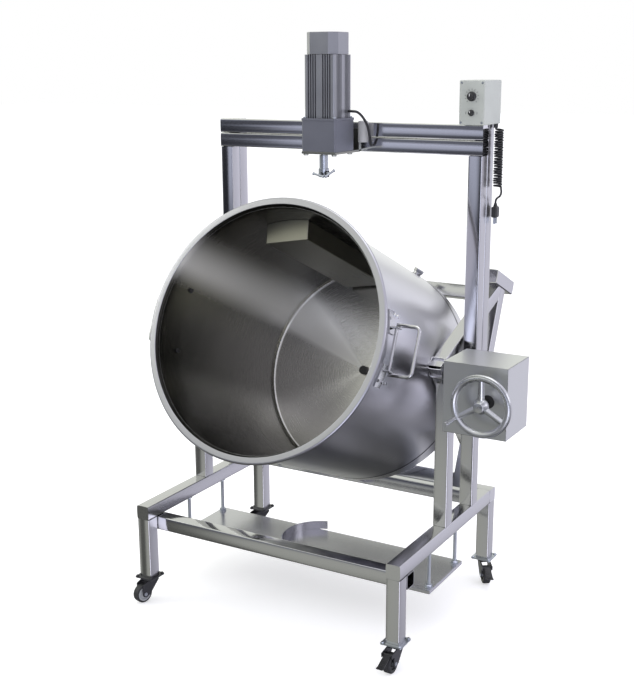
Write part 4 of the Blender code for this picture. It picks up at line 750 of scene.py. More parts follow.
# Outlines of a fork's cheek: forward from the swivel, and height
CHEEK = ((-CROWN_HALF, FORK_CROWN), (-0.0182, FORK_CROWN - 0.004), (0.012, 0.021), (0.020, 0.0172),
         (0.026, 0.0165), (0.032, 0.0185), (0.0345, 0.024))
CHEEK_FRONT = ((0.0345, 0.052), (CROWN_HALF, FORK_CROWN))
CHEEK_FRONT_BRAKED = ((0.0345, 0.0464), (0.0466, 0.0464), (0.0470, 0.0560), (CROWN_HALF, FORK_CROWN))
AXLE_BOLT_RADIUS = 0.0055
AXLE_BOLT_RISE = 0.0012
TREAD_ROUND = 0.0035
TYRE_BORE = 0.0195
TYRE_BORE_SHARE = 0.92
# One side of the hub: radius, and share of the wheel's half width
HUB_SIDE = ((0.0045, 0.9), (0.0085, 0.9), (0.0095, 0.6), (0.0150, 0.6), (0.0165, 0.95), (0.0192, 0.95))
PEDAL_SLOPE = 24
PEDAL_HALF = 0.009
PEDAL_SHEET = 0.0015
PEDAL_LENGTH = 0.040
PEDAL_PIN = 0.0112
TOE_LENGTH = 0.010
RIDGE_HALF = 0.0075


def make_castors():
    """Fork, wheel and brake pedal of each castor."""
    for name in CASTOR_NAMES:
        swivel = joint_place("swivel_" + name)
        axle = joint_place("roll_" + name)
        turn = math.atan2(axle.y - swivel.y, axle.x - swivel.x)
        place = moved_by(swivel.x, swivel.y, 0.0) @ Matrix.Rotation(turn, 4, "Z")
        make_fork(name, place)
        make_wheel(name, place)
        if name in BRAKED:
            make_pedal(name, place)


def make_fork(name, place):
    """A pressed fork: raceway, crown, two cheeks that narrow to the axle, and the axle's bolt."""
    top = low("leg_" + name).z - GAP
    radius = RACEWAY_RADIUS
    raceway = ((0.0, top), (radius - 0.0005, top), (radius, top - 0.0008), (radius, FORK_CROWN + 0.0015),
               (radius - 0.0015, FORK_CROWN), (0.0, FORK_CROWN))
    piece = Piece(turned_shape(raceway, 40), place=place)
    reach = FORK_HALF + FORK_SHEET
    front = CHEEK_FRONT_BRAKED if name in BRAKED else CHEEK_FRONT
    for side in (-1, 1):
        upright = Matrix(((1, 0, 0, 0), (0, 0, side, 0), (0, 1, 0, 0), (0, 0, 0, 1)))
        piece.add(plate_shape(CHEEK + front, FORK_HALF, reach), place=place @ upright)
    crown = cube_shape((-CROWN_HALF, -reach, FORK_CROWN - FORK_SHEET),
                       (CROWN_HALF, reach, FORK_CROWN + GAP), edge=0.001)
    piece.add(crown, place=place)
    body = "castor_" + name
    piece.stand_for("castor_fork_" + name, BLACK_PAINT, body)
    end = reach + AXLE_BOLT_RISE
    bolt = bar_shape((CASTOR_TRAIL, -end, CASTOR_RADIUS), (CASTOR_TRAIL, end, CASTOR_RADIUS),
                     AXLE_BOLT_RADIUS, sides=6, edge=0.0004)
    Piece(bolt, place=place).show("castor_bolt_" + name, ZINC, body)


def make_wheel(name, place):
    """A tyre with a rounded tread, and a hub ring with a dished web."""
    half = CASTOR_WIDTH / 2
    tread = CASTOR_RADIUS - TREAD_ROUND
    tyre = [(TYRE_BORE, half * TYRE_BORE_SHARE), (tread, half)]
    tyre += arc(tread, half - TREAD_ROUND, TREAD_ROUND, 90, 0, 4)
    tyre += arc(tread, -half + TREAD_ROUND, TREAD_ROUND, 0, -90, 4)
    tyre += [(TYRE_BORE, -half * TYRE_BORE_SHARE)]
    upright = place @ moved_by(CASTOR_TRAIL, 0.0, CASTOR_RADIUS) @ turned_by(90, "X")
    body = "wheel_" + name
    Piece(turned_shape(tyre, closed=True), place=upright).stand_for("castor_wheel_" + name, RUBBER, body)
    ring = [(radius, half * share) for radius, share in HUB_SIDE]
    ring += [(radius, -height) for radius, height in reversed(ring)]
    finish = BLACK_PLASTIC if name in BRAKED else HUB_GREY
    Piece(turned_shape(ring, 48, closed=True), place=upright).show("castor_hub_" + name, finish, body)


def make_pedal(name, place):
    """The brake pedal, a pressed plate with a turned-down toe and ridges."""
    pin = joint_place("brake_" + name)
    swivel = place.to_translation()
    reach = math.hypot(pin.x - swivel.x, pin.y - swivel.y)
    at_pin = place @ moved_by(reach, 0.0, pin.z)
    sloped = at_pin @ turned_by(PEDAL_SLOPE, "Y")
    piece = Piece(bar_shape((0, -PEDAL_PIN, 0), (0, PEDAL_PIN, 0), 0.003, sides=20), place=at_pin)
    low_corner = Vector((0.0, -PEDAL_HALF, -PEDAL_SHEET))
    high_corner = Vector((0.0, PEDAL_HALF, PEDAL_SHEET))
    piece.add(cube_shape(low_corner + Vector((-0.002, 0, 0)), high_corner + Vector((PEDAL_LENGTH, 0, 0)),
                         edge=0.001), place=sloped)
    for index in range(4):
        along = 0.020 + index * 0.005
        piece.add(cube_shape((along, -RIDGE_HALF, 0.0012), (along + 0.002, RIDGE_HALF, 0.0022), edge=0.0004,
                             steps=1), place=sloped)
    toe = cube_shape(low_corner, high_corner + Vector((TOE_LENGTH, 0, 0)), edge=0.001)
    piece.add(toe, place=sloped @ moved_by(PEDAL_LENGTH - 0.0012, 0, 0) @ turned_by(-PEDAL_SLOPE, "Y"))
    piece.stand_for("brake_pedal_" + name, BLACK_PLASTIC, "brake_" + name)


# Burner tray

TRAY_TOP = 0.132
TRAY_SHEET = 0.002
TRAY_EDGE = 0.010
HANGERS_AT = (-0.093, 0.068)
HANGER_RADIUS = 0.005
THREAD_DEPTH = 0.0006
THREAD_PITCH = 0.0030
NUT_HEIGHT = 0.008
NUT_RADIUS = 0.009
WASHER_RADIUS = 0.0105
WASHER_SHEET = 0.0012
GUARD_RADIUS = 0.105
GUARD_SHEET = 0.002
GUARD_HEIGHT = 0.023
GUARD_TURNS = (108, 205)


def make_tray():
    """The hung tray with its folded edge, the threaded hangers with their nuts, and the wind guard."""
    start, end = corners("burner_tray")
    near = start.xy + Vector((TRAY_SHEET, TRAY_SHEET))
    far = end.xy - Vector((TRAY_SHEET, TRAY_SHEET))
    sheet = cube_shape((start.x, start.y, TRAY_TOP - TRAY_SHEET), (end.x, end.y, TRAY_TOP), edge=0.0007)
    piece = Piece(sheet)
    for x, y, to_x, to_y in ((start.x, start.y, end.x, near.y), (start.x, far.y, end.x, end.y),
                             (start.x, near.y, near.x, far.y), (far.x, near.y, end.x, far.y)):
        piece.add(cube_shape((x, y, TRAY_TOP - TRAY_EDGE), (to_x, to_y, TRAY_TOP - TRAY_SHEET / 2),
                             edge=0.0006))
    piece.stand_for("burner_tray", TRAY_STEEL)
    rods = Piece()
    for side in ("left", "right"):
        rail_low, rail_high = corners("side_rail_" + side)
        for y in HANGERS_AT:
            make_hanger(rods, (rail_low.x + rail_high.x) / 2, MIDDLE.y + y, start.z, rail_low.z - GAP)
    rods.show("tray_hangers", ZINC)
    bottom = low("wind_guard").z
    ring = arc(0.0, 0.0, GUARD_RADIUS, *GUARD_TURNS, 40)
    ring += arc(0.0, 0.0, GUARD_RADIUS - GUARD_SHEET, *reversed(GUARD_TURNS), 40)
    guard = plate_shape(ring, bottom, bottom + GUARD_HEIGHT)
    Piece(guard, place=Matrix.Translation(MIDDLE)).stand_for("wind_guard", TRAY_STEEL)


def make_hanger(piece, x, y, bottom, top):
    """A threaded rod with ridges, and its nuts over and under the tray and under the rail."""
    core = HANGER_RADIUS - THREAD_DEPTH
    profile = [(0.0, top), (core, top)]
    for turn in range(int((top - bottom) / THREAD_PITCH)):
        height = top - (turn + 0.5) * THREAD_PITCH
        profile += [(HANGER_RADIUS, height), (core, height - THREAD_PITCH / 2)]
    profile += [(core, bottom), (0.0, bottom)]
    piece.add(turned_shape(profile, 14), place=moved_by(x, y, 0.0))
    for nut in (top - NUT_HEIGHT, TRAY_TOP, TRAY_TOP - TRAY_SHEET - NUT_HEIGHT):
        piece.add(post_shape(x, y, nut, nut + NUT_HEIGHT, NUT_RADIUS, sides=6, edge=0.0005))
    piece.add(post_shape(x, y, TRAY_TOP, TRAY_TOP + WASHER_SHEET, WASHER_RADIUS, sides=28))


# Kettle

PIVOT_RADIUS = 0.011
PIVOT_HEIGHT = 0.012
PIVOT_CHAMFER = 0.00495
PIVOT_FOOT = 0.001
BUSH_WALL = 0.0012
# How far the pot's wall flares out, and how deep under the rim's top
FLARE_INSIDE = ((0.0, 0.105), (0.0006, 0.080), (0.0022, 0.050), (0.0046, 0.024), (0.0068, 0.012),
                (0.0103, 0.0045), (0.0115, 0.0010))
FLARE_OUTSIDE = ((0.0125, 0.011), (0.0046, 0.013), (0.0046, 0.041), (0.0020, 0.070), (0.0, 0.110))
LIP_ROUND = 0.0014
LIP_FOOT = 0.004
LIP_FOOT_RISE = 0.002
BAND_DEPTH = 0.557
BAND_GROOVE = 0.0015
GROOVE_DEPTH = 0.0012
BASE_ROUND = 0.006
BASE_FILLET = 0.003
PORT_TURN = -24
PORT_DEPTH = 0.530
BAFFLE_HALF = 0.060
BAFFLE_RISE = 0.050
BAFFLE_DEPTHS = (0.095, 0.560)
BAFFLE_FOLD = 0.0022
BAFFLE_TURN = 9.5


def make_kettle():
    """Pot, rim, jacket, baffle and the handles."""
    make_pot()
    make_jacket()
    make_baffle()
    make_handles()


def kettle_ring(profile, name, finish, sharp=SHARP):
    """Show a closed profile turned round the kettle's axis."""
    ring = turned_shape(profile, KETTLE_SIDES, closed=True)
    Piece(ring, place=KETTLE).show(name, finish, "kettle", sharp=sharp)


def make_pot():
    """The inner pot below its rim, and the rolled rim over the jacket as a ring of its own finish."""
    boss_top = POT_BOTTOM + PIVOT_HEIGHT
    corner = (POT_RADIUS - POT_CORNER, POT_BOTTOM + POT_CORNER)
    outer_wall = POT_RADIUS + POT_WALL
    profile = [(0.0, boss_top), (PIVOT_RADIUS - PIVOT_CHAMFER, boss_top),
               (PIVOT_RADIUS, boss_top - PIVOT_CHAMFER)]
    profile += [(PIVOT_RADIUS, POT_BOTTOM + PIVOT_FOOT), (PIVOT_RADIUS + PIVOT_FOOT, POT_BOTTOM)]
    profile += [(POT_RADIUS / 2, POT_BOTTOM), *arc(*corner, POT_CORNER, -90, 0, 8)]
    profile += [(POT_RADIUS + out, RIM_HEIGHT - down) for out, down in FLARE_INSIDE]
    profile += [(outer_wall + out, RIM_HEIGHT - down) for out, down in FLARE_OUTSIDE]
    profile += [*arc(*corner, POT_CORNER + POT_WALL, 0, -90, 6), (0.0, POT_BOTTOM - POT_WALL)]
    pot = Piece(turned_shape(profile, KETTLE_SIDES), place=KETTLE)
    pot.stand_for("inner_pot", KETTLE_INSIDE, "kettle", sharp=28)
    roll = RIM_ROLL / 2
    neck = RIM_HEIGHT - RIM_ROLL
    rim = arc(LIP_RADIUS + LIP_ROUND, RIM_HEIGHT - LIP_ROUND, LIP_ROUND, 180, 90, 3)
    rim += arc(RIM_RADIUS - roll, RIM_HEIGHT - roll, roll, 90, -90, 12)
    rim += [(LIP_RADIUS + LIP_FOOT, neck), (LIP_RADIUS, neck + LIP_FOOT_RISE)]
    kettle_ring(rim, "kettle_rim", KETTLE_RIM, sharp=50)


def make_jacket():
    """The straight shell, a black ring over the base band's groove, the flat bottom and the capped port."""
    top = RIM_HEIGHT - RIM_ROLL - GAP
    radius = JACKET_RADIUS
    inner = radius - JACKET_WALL
    band = RIM_HEIGHT - BAND_DEPTH
    floor = JACKET_BOTTOM + JACKET_WALL
    shell = [(inner, top), (radius, top), (radius, band), (radius - GROOVE_DEPTH, band),
             (radius - GROOVE_DEPTH, band - BAND_GROOVE), (radius, band - BAND_GROOVE - GAP)]
    shell += arc(radius - BASE_ROUND, JACKET_BOTTOM + BASE_ROUND, BASE_ROUND, 0, -90, 5)
    shell += [(0.0, JACKET_BOTTOM), (0.0, floor), (inner - BASE_FILLET, floor), (inner, floor + BASE_FILLET),
              (inner, top)]
    jacket = Piece(turned_shape(shell, KETTLE_SIDES), place=KETTLE)
    jacket.stand_for("jacket", KETTLE_OUTSIDE, "kettle", sharp=28)
    # A thin black ring over the groove of the base band.
    black_ring = [(radius - 0.0006, band + 0.0018), (radius + 0.0005, band + 0.0018),
            (radius + 0.0005, band - 0.0024), (radius - 0.0006, band - 0.0024)]
    kettle_ring(black_ring, "base_band_black_ring", BLACK_AND_PAINTED_SHADE)
    # Pipe, weld and cap of the port, out along its own axis
    place = (KETTLE @ turned_by(PORT_TURN, "Z") @ moved_by(0, 0, RIM_HEIGHT - PORT_DEPTH)
             @ turned_by(-90, "X") @ moved_by(0, 0, radius))
    weld = ((0.0130, 0.0014), (0.0165, -0.0006), (0.0130, -0.0006))
    Piece(
        post_shape(0, 0, -0.004, 0.010, 0.0115, edge=0.0008),
        turned_shape(weld, 32, closed=True),
        post_shape(0, 0, 0.0065, 0.0170, 0.0140, sides=6, edge=0.001),
        place=place,
    ).show("jacket_port", BRIGHT, "kettle")


def make_baffle():
    """The folded channel on the inner wall, with its open side to the wall."""
    half = BAFFLE_HALF
    face = math.sqrt(POT_RADIUS ** 2 - half ** 2) - BAFFLE_RISE
    wall = POT_RADIUS - GAP
    steps = 10
    across = [half - 2 * half * step / steps for step in range(steps + 1)]
    outline = [(-half, face), (half, face)] + [(x, math.sqrt(wall ** 2 - x ** 2)) for x in across]
    top, bottom = (RIM_HEIGHT - depth for depth in BAFFLE_DEPTHS)
    bm = plate_shape(outline, bottom, top)
    folds = [e for e in bm.edges
             if e.calc_face_angle(0) > 0.7 and min(v.co.y for v in e.verts) < face + 0.001]
    round_edges(bm, folds, BAFFLE_FOLD, steps=3)
    # The baffle's finish is the darker steel of painted shade.
    Piece(bm, place=KETTLE @ turned_by(BAFFLE_TURN, "Z")).stand_for("baffle", BAFFLE_PAINTED_SHADE, "kettle")


# Handles

HANDLE_HEIGHT = RIM_HEIGHT - 0.072
HANDLE_ROD = 0.0045
HANDLE_HALF = 0.059
HANDLE_REACH = 0.058
HANDLE_BEND = 0.012
PAD_FACE = JACKET_RADIUS + GAP
PAD_SHEET = 0.003
PAD_HALF = 0.015
PAD_STRETCH = (0.036, 0.093)
PIN_OUT = 0.008
EAR_SHEET = 0.004
EAR_HALF = 0.010
PAD_BOLT_AT = 0.080
INNER_BOLT_TURNS = (-14.5, 16.5, 163.5, 194.5)
BOLT_UP = 0.008


def make_handles():
    """Pads, ears, bolts and the rod handle of each side."""
    height = HANDLE_HEIGHT
    pin_x = PAD_FACE + PAD_SHEET + PIN_OUT
    ear_far = HANDLE_HALF - HANDLE_ROD - GAP
    for side, word in SIDES:
        place = KETTLE @ mirrored(side, 1, 1)
        pads = Piece(pad_shape(-1), pad_shape(1), place=place)
        for end in (-1, 1):
            near, far = sorted((end * ear_far, end * (ear_far - EAR_SHEET)))
            pads.add(cube_shape((PAD_FACE - 0.004, near, height - EAR_HALF),
                                (pin_x + PIN_OUT, far, height + EAR_HALF), edge=0.0015, steps=3), place=place)
            for up in (-BOLT_UP, BOLT_UP):
                y = end * PAD_BOLT_AT
                pads.add(bar_shape((PAD_FACE + 0.001, y, height + up), (PAD_FACE + 0.0055, y, height + up),
                                   0.0045, sides=6, edge=0.0004), place=place)
        pads.stand_for("handle_bracket_" + word, BRIGHT, "kettle")
        bend_x = pin_x + HANDLE_REACH - HANDLE_BEND
        bend_y = HANDLE_HALF - HANDLE_BEND
        points = [(pin_x, HANDLE_HALF * share / 6) for share in range(-6, 7)]
        points += arc(bend_x, bend_y, HANDLE_BEND, 90, 0, 8) + arc(bend_x, -bend_y, HANDLE_BEND, 0, -90, 8)
        rod = rod_shape([(x, y, height) for x, y in points], HANDLE_ROD, 20, closed=True)
        Piece(rod, place=place).stand_for("handle_" + word, BRIGHT, word + "_handle")
    bolts = Piece()
    for angle in INNER_BOLT_TURNS:
        bolt = bar_shape((POT_RADIUS - 0.0045, 0, height - BOLT_UP),
                         (POT_RADIUS - GAP, 0, height - BOLT_UP), 0.0062, sides=24, edge=0.0008)
        bolts.add(bolt, place=KETTLE @ turned_by(angle, "Z"))
    bolts.show("inner_bolt_heads", BLACK_PLASTIC, "kettle")
    bush = post_shape(0, 0, POT_BOTTOM + GAP, POT_BOTTOM + PIVOT_HEIGHT + 0.0006, PIVOT_RADIUS + BUSH_WALL,
                      sides=48, edge=0.0012)
    Piece(bush, place=KETTLE).show("pivot_bush", BLACK_PLASTIC, "kettle")


def pad_shape(end):
    """A small curved base plate under an ear, following the kettle's wall."""
    near, far = (math.degrees(end * along / JACKET_RADIUS) for along in PAD_STRETCH)
    outline = arc(0.0, 0.0, PAD_FACE + PAD_SHEET, near, far, 10) + arc(0.0, 0.0, PAD_FACE, far, near, 10)
    return plate_shape(outline, HANDLE_HEIGHT - PAD_HALF, HANDLE_HEIGHT + PAD_HALF)


# Cradle and trunnions

CRADLE_HALF = 0.2792
CRADLE_INNER = JACKET_RADIUS + GAP
CRADLE_TOP = JACKET_BOTTOM - GAP
REAR_ARM_TURN = 46
FRONT_ARM_TURN = 63
ARM_OVERRUN = 1.5
LUG_OUT = 0.004
LUG_RISE = 0.052
LUG_LENGTH = 0.135
TRUNNION_RADIUS = 0.013
COLLAR_RADIUS = 0.022
COLLAR_WIDTH = 0.0044


def make_cradle():
    """Side bars, slanted arms and rear lugs on each side, and the two bars under the kettle."""
    inner = CRADLE_INNER
    outer = inner + TUBE
    bar_low = CRADLE_TOP - TUBE
    lug_top = CRADLE_TOP + LUG_RISE
    for side, word in SIDES:
        place = CRADLE @ mirrored(side, 1, 1)
        piece = Piece(
            tube_shape((inner, -CRADLE_HALF, bar_low), (outer, CRADLE_HALF, CRADLE_TOP), 1, open_start=False,
                       open_end=False),
            tube_shape((inner + LUG_OUT, CRADLE_HALF, lug_top - LUG_LENGTH),
                       (outer + LUG_OUT, CRADLE_HALF + TUBE, lug_top), 2, open_start=False),
            arm_shape(REAR_ARM_TURN),
            place=place,
        )
        piece.add(arm_shape(FRONT_ARM_TURN), place=place @ mirrored(1, -1, 1))
        piece.stand_for("cradle_side_" + word, POLISHED_CRADLE, "kettle")
    for word, start in (("rear", CRADLE_HALF - TUBE), ("front", -CRADLE_HALF)):
        bar = tube_shape((-inner + GAP, start, bar_low), (inner - GAP, start + TUBE, CRADLE_TOP), 0)
        Piece(bar, place=CRADLE).stand_for("cradle_bar_" + word, POLISHED_CRADLE, "kettle")


def arm_shape(turn):
    """A slanted tube from the trunnion to the side bar, cut flush at its foot."""
    half = TUBE / 2
    length = -ARM_OVERRUN * CRADLE_TOP / math.sin(math.radians(turn))
    bm = tube_shape((CRADLE_INNER, -half, -half), (CRADLE_INNER + TUBE, length, half), 1, open_end=False)
    bm.transform(turned_by(-turn, "X"))
    for spot, way in (((0, 0, CRADLE_TOP), (0, 0, -1)), ((0, CRADLE_HALF, 0), (0, 1, 0))):
        geom = list(bm.verts) + list(bm.edges) + list(bm.faces)
        bmesh.ops.bisect_plane(bm, geom=geom, plane_co=spot, plane_no=way, clear_outer=True)
        bmesh.ops.holes_fill(bm, edges=[e for e in bm.edges if e.is_boundary], sides=0)
    return bm


def make_trunnions():
    """Shafts with their collars, and the bearings."""
    near = CRADLE_INNER + TUBE + GAP
    for side, word in reversed(SIDES):
        node = "trunnion_bearing_" + word
        Piece(cube_shape(*corners(node), edge=0.002, steps=3)).stand_for(node, IRON)
        box = high("trunnion_right").x if side > 0 else low("trunnion_left").x
        Piece(
            bar_shape((side * near, 0, 0), (side * abs(box - TILT_AXIS.x), 0, 0), TRUNNION_RADIUS, sides=48,
                      edge=0.001),
            bar_shape((side * near, 0, 0), (side * (near + COLLAR_WIDTH), 0, 0), COLLAR_RADIUS, sides=48,
                      edge=0.0008),
            place=CRADLE,
        ).stand_for("trunnion_" + word, BRIGHT, "kettle")


# Tilting gear

COVER_SHEET = 0.0015
COVER_HOLE = 0.0165
# Axis and end of each sheet of the cover
COVER_SIDES = ((1, -1), (1, 1), (0, 1), (2, -1), (2, 1))
WHEEL_RADIUS = 0.0768
WHEEL_ROD = 0.0084
WHEEL_GROOVE = (0.72, 48)
SPOKE_RADII = (0.0085, 0.0064)
HUB_HALF = 0.017
# Radius and height of the hub and of the crank's grip
HUB_PROFILE = ((0.0, HUB_HALF), (0.0115, HUB_HALF), (0.0130, 0.0158), (0.0150, 0.0068), (0.0185, 0.00255),
               (0.0190, -0.0034), (0.0175, -0.0085), (0.0130, -0.0153), (0.0115, -HUB_HALF), (0.0, -HUB_HALF))
GRIP_PROFILE = ((0.0038, 0.056), (0.0052, 0.056), (0.0060, 0.053), (0.0062, 0.045), (0.0058, 0.030),
                (0.0050, 0.016), (0.0044, 0.006), (0.0052, 0.003), (0.0050, 0.0), (0.0038, 0.0))
CRANK_PIN = 0.0035
CRANK_LENGTH = 0.0668
CRANK_HEAD = 0.0056


def make_gear_cover():
    """The folded sheet cover: five sheets with rounded folds, and a black disc of painted shade where the
    shaft's hole is.
    """
    start, end = corners("gear_cover")
    hub = joint_place("handwheel_turn")
    sheets = [sheet_shape(start, end, axis, side, COVER_SHEET, 0.0006) for axis, side in COVER_SIDES]
    Piece(*sheets).stand_for("gear_cover", SHEET)
    # The hole is not cut: a thin black disc on the front sheet is painted shade for it.
    hole = bar_shape((hub.x, start.y - 0.0002, hub.z), (hub.x, start.y + 0.0005, hub.z), COVER_HOLE, sides=48)
    Piece(hole).show("cover_hole_shade_disc", BLACK_AND_PAINTED_SHADE)


def make_handwheel():
    """Hub, tapered spokes, the rim with its groove, and the crank handle."""
    place = Matrix.Translation(joint_place("handwheel_turn")) @ turned_by(90, "X")
    centre = WHEEL_RADIUS - WHEEL_ROD
    share, groove = WHEEL_GROOVE
    rim = arc(centre, 0.0, WHEEL_ROD, groove + 12, groove + 348, 28)
    rim += arc(centre, 0.0, WHEEL_ROD * share, groove, groove, 1)[:1]
    piece = Piece(turned_shape(HUB_PROFILE, 48), turned_shape(rim, 128, closed=True), place=place)
    for angle in (90, 210, 330):
        way = turned_by(angle, "Z") @ Vector((1.0, 0.0, 0.0))
        spoke = bar_shape(way * 0.010 + Vector((0, 0, -0.002)), way * (centre - WHEEL_ROD * 0.3),
                          *SPOKE_RADII, sides=24)
        piece.add(spoke, place=place)
    crank = place.inverted() @ joint_place("crank_spin")
    pin_end = crank.z + CRANK_LENGTH
    piece.add(post_shape(crank.x, crank.y, crank.z, pin_end, CRANK_PIN, sides=20), place=place)
    piece.add(post_shape(crank.x, crank.y, pin_end - 0.0013, pin_end + 0.0004, CRANK_HEAD, sides=24,
                         edge=0.0004), place=place)
    piece.stand_for("handwheel", CASTING, "handwheel_and_worm", sharp=40)
    grip = turned_shape(GRIP_PROFILE, 32, closed=True)
    at_grip = place @ Matrix.Translation(crank) @ moved_by(0, 0, WHEEL_ROD + GAP)
    Piece(grip, place=at_grip).stand_for("crank_handle", BRIGHT, "crank", sharp=40)
    nut = post_shape(0, 0, HUB_HALF - 0.001, HUB_HALF + GAP, 0.0040, sides=24, edge=0.0004)
    Piece(nut, place=place).show("handwheel_nut", BRIGHT, "handwheel_and_worm")


# Gearmotor

MOUNT_SHEET = 0.006
MOUNT_BOLTS = 0.041
GEAR_HALF = 0.0495
GEAR_LIP = 0.006
GEAR_SCREWS = 0.0425
STATOR_CORNER = 0.007
STATOR_FLAT = 0.010
FIN_DEPTH = 0.0075
FIN_MIDDLE = 0.0075
FIN_SLOTS = 4
FIN_GAP_SHARE = 0.60
FAN_CHAMFER = 0.019
FAN_SCREWS = 0.0125
SHAFT_RADIUS = 0.0075
SLEEVE_STEP = 0.0218
TOMMY_OUT = 0.034
# Turn, lean of the crossbar, and share of the sleeve's wide part
TOMMY_SCREWS = ((-84.0, -13.0, 0.36), (-34.0, 30.0, 0.52))
CABLE_RADIUS = 0.0033
# From the lower front edge of the beam
MOTOR_CABLE_ROUTE = (
    (0.0446, -0.0530, 0.1045), (0.0540, -0.0530, 0.1045), (0.0680, -0.0480, 0.1020),
    (0.0790, -0.0400, 0.0890), (0.0860, -0.0300, 0.0690), (0.0880, -0.0220, 0.0450),
    (0.0870, -0.0135, 0.0240), (0.0860, -0.0075, 0.0185), (0.0860, -0.0005, 0.0185),
)


def square_outline(centre, half, corner, steps=1):
    """A square outline with cut or rounded corners."""
    points = []
    for quarter, (x, y) in enumerate(((1, 1), (-1, 1), (-1, -1), (1, -1))):
        points += arc(centre.x + x * (half - corner), centre.y + y * (half - corner), corner, 90 * quarter,
                      90 * quarter + 90, steps)
    return points


def make_gearmotor():
    """Mount plate, gearhead, finned body, fan cover and output parts."""
    make_motor_mount()
    make_gearhead()
    make_stator()
    make_fan_cover()
    make_output()
    make_capacitor()


def make_motor_mount():
    """The bracket under the gearhead, folded up along the beam, with its bolts."""
    start, end = corners("motor_mount")
    gear = (low("gearhead") + high("gearhead")) / 2
    piece = Piece(sheet_shape(start, end, 2, -1, MOUNT_SHEET, 0.0008),
                  sheet_shape(start, end, 1, 1, MOUNT_SHEET, 0.0008))
    piece.add(*corner_posts(gear, MOUNT_BOLTS, start.z - 0.0045, start.z, 0.0065, sides=6, edge=0.0005))
    # The bracket's finish is the darker steel of painted shade.
    piece.stand_for("motor_mount", MOUNT_PAINTED_SHADE)


def make_gearhead():
    """The cast gearhead with a lip and four corner screws."""
    start, end = corners("gearhead")
    centre = (start + end) / 2
    body = plate_shape(square_outline(centre, GEAR_HALF, 0.006, 4), start.z, end.z - GEAR_LIP)
    lip = plate_shape(square_outline(centre, GEAR_HALF + 0.0015, 0.007, 4), end.z - GEAR_LIP + 0.0002, end.z)
    round_rims(lip, 0.0008)
    Piece(body, lip).stand_for("gearhead", MOTOR_PAINT)
    screws = corner_posts(centre, GEAR_SCREWS, end.z, end.z + 0.0035, 0.0045, sides=24, edge=0.0006)
    Piece(*screws).show("gearhead_screws", ZINC)


def make_stator():
    """The extruded body with upright fins between its solid corners."""
    start, end = corners("motor_stator")
    centre = (start + end) / 2
    half = (end.x - start.x) / 2
    flat = half - STATOR_FLAT
    floor = half - FIN_DEPTH
    pitch = (flat - FIN_MIDDLE) / FIN_SLOTS
    gap = pitch * FIN_GAP_SHARE
    side = [(half, -flat)]
    middles = [-FIN_MIDDLE - pitch * (index + 0.5) for index in reversed(range(FIN_SLOTS))]
    middles += [-middle for middle in reversed(middles)]
    for middle in middles:
        near = middle - gap / 2
        far = middle + gap / 2
        side += [(half, near), (floor, near), (floor, far), (half, far)]
    side += [(half, flat), *arc(half - STATOR_CORNER, half - STATOR_CORNER, STATOR_CORNER, 15, 75, 3)]
    outline = []
    for quarter in range(4):
        outline += [(centre.x + x, centre.y + y) for x, y in quarter_turned(side, quarter)]
    Piece(plate_shape(outline, start.z, end.z)).stand_for("motor_stator", MOTOR_BODY)


def make_fan_cover():
    """The cap with wide corner chamfers, and a screw at each corner."""
    start, end = corners("fan_cover")
    centre = (start + end) / 2
    half = (end.x - start.x) / 2
    cap = plate_shape(square_outline(centre, half, FAN_CHAMFER), start.z, end.z)
    round_rims(cap, 0.0016)
    screws = corner_posts(centre, half - FAN_SCREWS, start.z + 0.004, end.z - 0.010, 0.0035, sides=20,
                          edge=0.0006)
    Piece(cap, *screws).stand_for("fan_cover", MOTOR_BODY)


def make_output():
    """The output shaft and its stepped coupling, with a black box of painted shade for the bayonet slot, and
    two tommy screws.
    """
    shaft_low, shaft_high = corners("output_shaft")
    x, y, _ = (shaft_low + shaft_high) / 2
    shaft = post_shape(x, y, shaft_low.z, shaft_high.z, SHAFT_RADIUS, sides=40, edge=0.0008)
    Piece(shaft).stand_for("output_shaft", BRIGHT, "output")
    start = low("clamp_sleeve").z
    end = high("clamp_sleeve").z
    step = start + SLEEVE_STEP
    place = moved_by(x, y, 0.0)
    profile = ((0.0078, end), (0.0106, end), (0.0112, end - 0.0007), (0.0112, step), (0.0129, step),
               (0.0135, step - 0.0007), (0.0135, start + 0.0007), (0.0128, start), (0.0078, start))
    sleeve = Piece(turned_shape(profile, 48, closed=True), place=place)
    # The slot is not cut: a black box on the sleeve is painted shade for it.
    slot = cube_shape((0.0120, -0.0035, start + 0.0004), (0.0137, 0.0035, start + 0.016), edge=0.0012,
                      steps=3, axis=0)
    Piece(slot, place=place @ turned_by(5, "Z")).show("sleeve_slot_shade_box", BLACK_AND_PAINTED_SHADE, "output")
    heads = Piece()
    for turn, lean, share in TOMMY_SCREWS:
        around = place @ turned_by(turn, "Z") @ moved_by(0, 0, start + SLEEVE_STEP * share)
        across = around @ moved_by(TOMMY_OUT, 0, 0) @ turned_by(lean, "X")
        sleeve.add(bar_shape((0.009, 0, 0), (TOMMY_OUT, 0, 0), 0.003, sides=20), place=around)
        sleeve.add(bar_shape((0, -0.0155, 0), (0, 0.0155, 0), 0.0027, sides=20, edge=0.0006), place=across)
        for knob in (-1, 1):
            sleeve.add(bar_shape((0, knob * 0.0120, 0), (0, knob * 0.0158, 0), 0.0040, sides=20, edge=0.0014),
                       place=across)
        heads.add(bar_shape((0.0130, 0, 0), (0.0160, 0, 0), 0.0052, sides=24, edge=0.0006), place=around)
    sleeve.stand_for("clamp_sleeve", ZINC, "output")
    heads.show("sleeve_screw_nuts", BLACK_AND_PAINTED_SHADE, "output")


